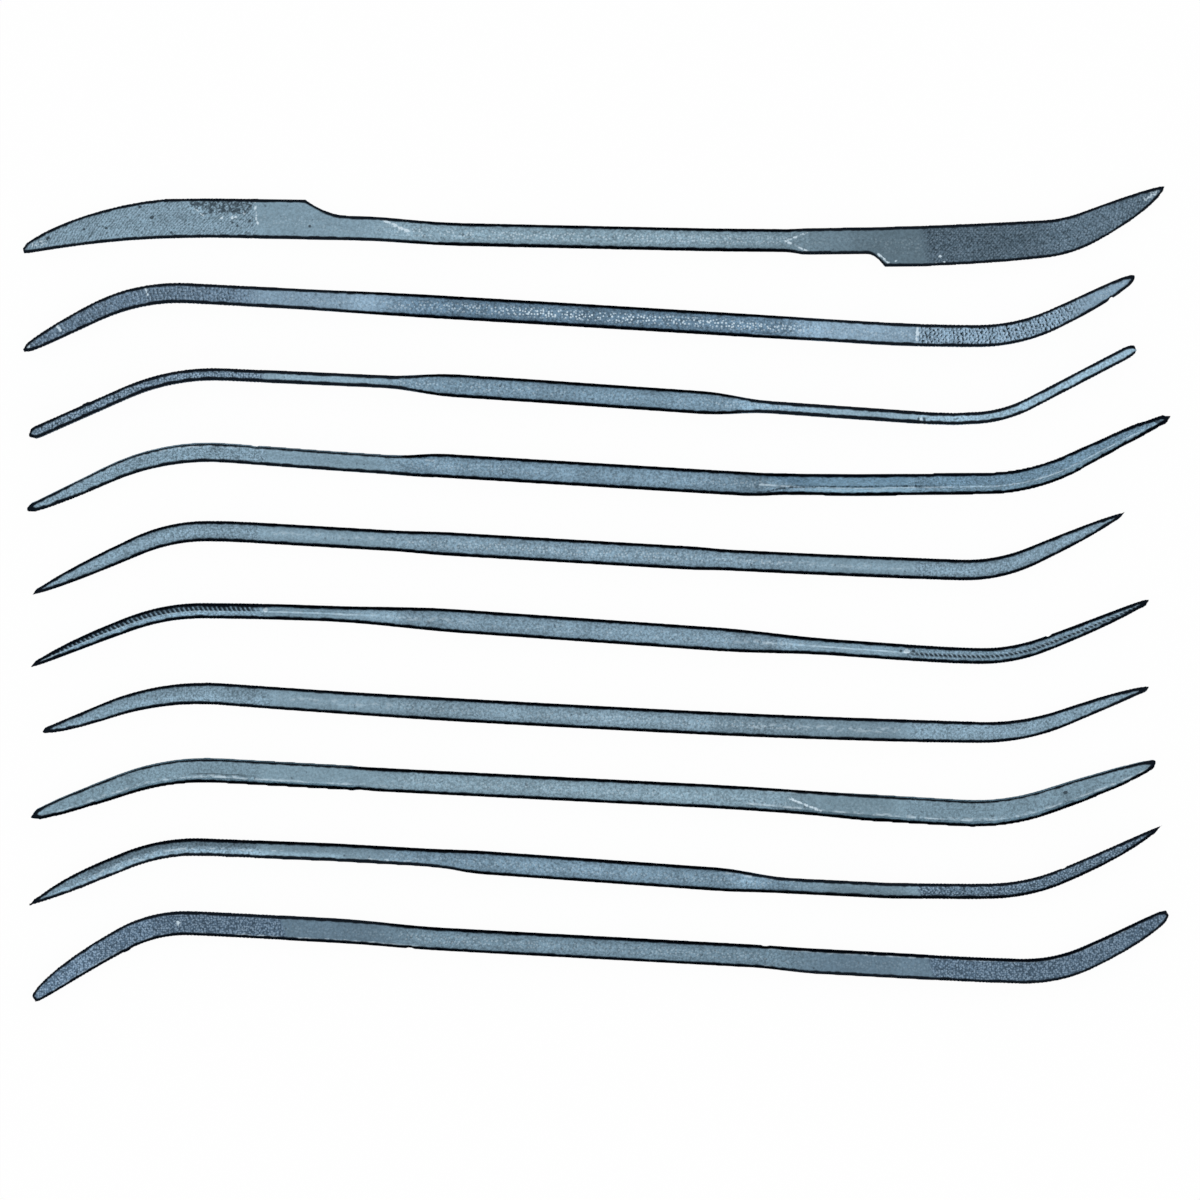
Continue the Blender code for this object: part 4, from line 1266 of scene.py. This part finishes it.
def floor_material(settings):
    """Pale and plain. The camera and the steel see most of it white, and its shadows faintly."""
    material = bpy.data.materials.new("pale_floor")
    material.use_nodes = True
    tree = material.node_tree
    shader = principled(material)
    shader.inputs["Base Color"].default_value = (*settings.floor_colour, 1.0)
    shader.inputs["Roughness"].default_value = 1.0
    shader.inputs["Specular IOR Level"].default_value = 0.0
    glow = tree.nodes.new("ShaderNodeEmission")
    glow.inputs["Color"].default_value = WHITE
    glow.inputs["Strength"].default_value = 1.0
    rays = tree.nodes.new("ShaderNodeLightPath").outputs
    seen = arithmetic(tree, "MAXIMUM", rays["Is Camera Ray"], rays["Is Glossy Ray"])
    mix = tree.nodes.new("ShaderNodeMixShader")
    feed(tree, mix.inputs["Fac"], product(tree, seen, settings.floor_glow_share))
    feed(tree, mix.inputs[1], shader.outputs["BSDF"])
    feed(tree, mix.inputs[2], glow.outputs["Emission"])
    feed(tree, tree.nodes["Material Output"].inputs["Surface"], mix.outputs["Shader"])
    material.cycles.emission_sampling = "NONE"
    return material


def studio_world(settings):
    """Soft light from all round, strongest from the ceiling."""
    world = bpy.data.worlds.new("studio")
    bpy.context.scene.world = world
    world.use_nodes = True
    tree = world.node_tree
    split = tree.nodes.new("ShaderNodeSeparateXYZ")
    feed(tree, split.inputs["Vector"], tree.nodes.new("ShaderNodeTexCoord").outputs["Generated"])
    limits = (0.0, 1.0, settings.wall_strength, settings.ceiling_strength)
    background = tree.nodes["Background"]
    feed(tree, background.inputs["Strength"], ramp(tree, split.outputs["Z"], *limits, kind="LINEAR"))
    background.inputs["Color"].default_value = WHITE


def camera_above(settings):
    """The camera, straight above the row and framed as the photograph is."""
    data = bpy.data.cameras.new("above")
    data.lens = settings.lens
    camera = bpy.data.objects.new("above", data)
    bpy.context.scene.collection.objects.link(camera)
    height = FRAME_WIDTH * settings.lens / data.sensor_width
    camera.location = (*FRAME_MIDDLE, OUTLINE_HEIGHT + height)
    bpy.context.scene.camera = camera


class RIFFLER_OT_stage(bpy.types.Operator):
    """Lays the floor, lights it and sets the camera up."""

    bl_idname = "riffler.stage"
    bl_label = "Stage"

    def execute(self, context):
        settings = context.scene.riffler_row.stage
        bpy.ops.object.select_all(action="DESELECT")
        bpy.ops.mesh.primitive_plane_add(size=settings.floor_size)
        floor = context.active_object
        floor.name = "floor"
        floor.data.materials.append(floor_material(settings))
        studio_world(settings)
        camera_above(settings)
        context.scene.view_settings.view_transform = "Standard"
        return {"FINISHED"}


class RIFFLER_PT_row(bpy.types.Panel):
    """Lists the files and the stage."""

    bl_idname = "RIFFLER_PT_row"
    bl_label = "Riffler Files"
    bl_space_type = "VIEW_3D"
    bl_region_type = "UI"
    bl_category = "Rifflers"

    def draw(self, context):
        for operator in OPERATORS:
            self.layout.operator(operator.bl_idname)


SETTINGS = (RifflerTeethSettings, RifflerSteelSettings, RifflerStageSettings, RifflerRowSettings)
OPERATORS = (
    RIFFLER_OT_knife, RIFFLER_OT_square, RIFFLER_OT_flat, RIFFLER_OT_three_square,
    RIFFLER_OT_round, RIFFLER_OT_crossing, RIFFLER_OT_oval, RIFFLER_OT_barrette,
    RIFFLER_OT_half_round, RIFFLER_OT_pillar, RIFFLER_OT_stage,
)


def register():
    for item in (*SETTINGS, *OPERATORS, RIFFLER_PT_row):
        bpy.utils.register_class(item)
    bpy.types.Scene.riffler_row = PointerProperty(type=RifflerRowSettings)


def unregister():
    del bpy.types.Scene.riffler_row
    for item in reversed((*SETTINGS, *OPERATORS, RIFFLER_PT_row)):
        bpy.utils.unregister_class(item)


def main():
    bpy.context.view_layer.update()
    register()
    bpy.ops.riffler.knife()
    bpy.ops.riffler.square()
    bpy.ops.riffler.flat()
    bpy.ops.riffler.three_square()
    bpy.ops.riffler.round()
    bpy.ops.riffler.crossing()
    bpy.ops.riffler.oval()
    bpy.ops.riffler.barrette()
    bpy.ops.riffler.half_round()
    bpy.ops.riffler.pillar()
    bpy.ops.riffler.stage()


if __name__ == "__main__":
    main()
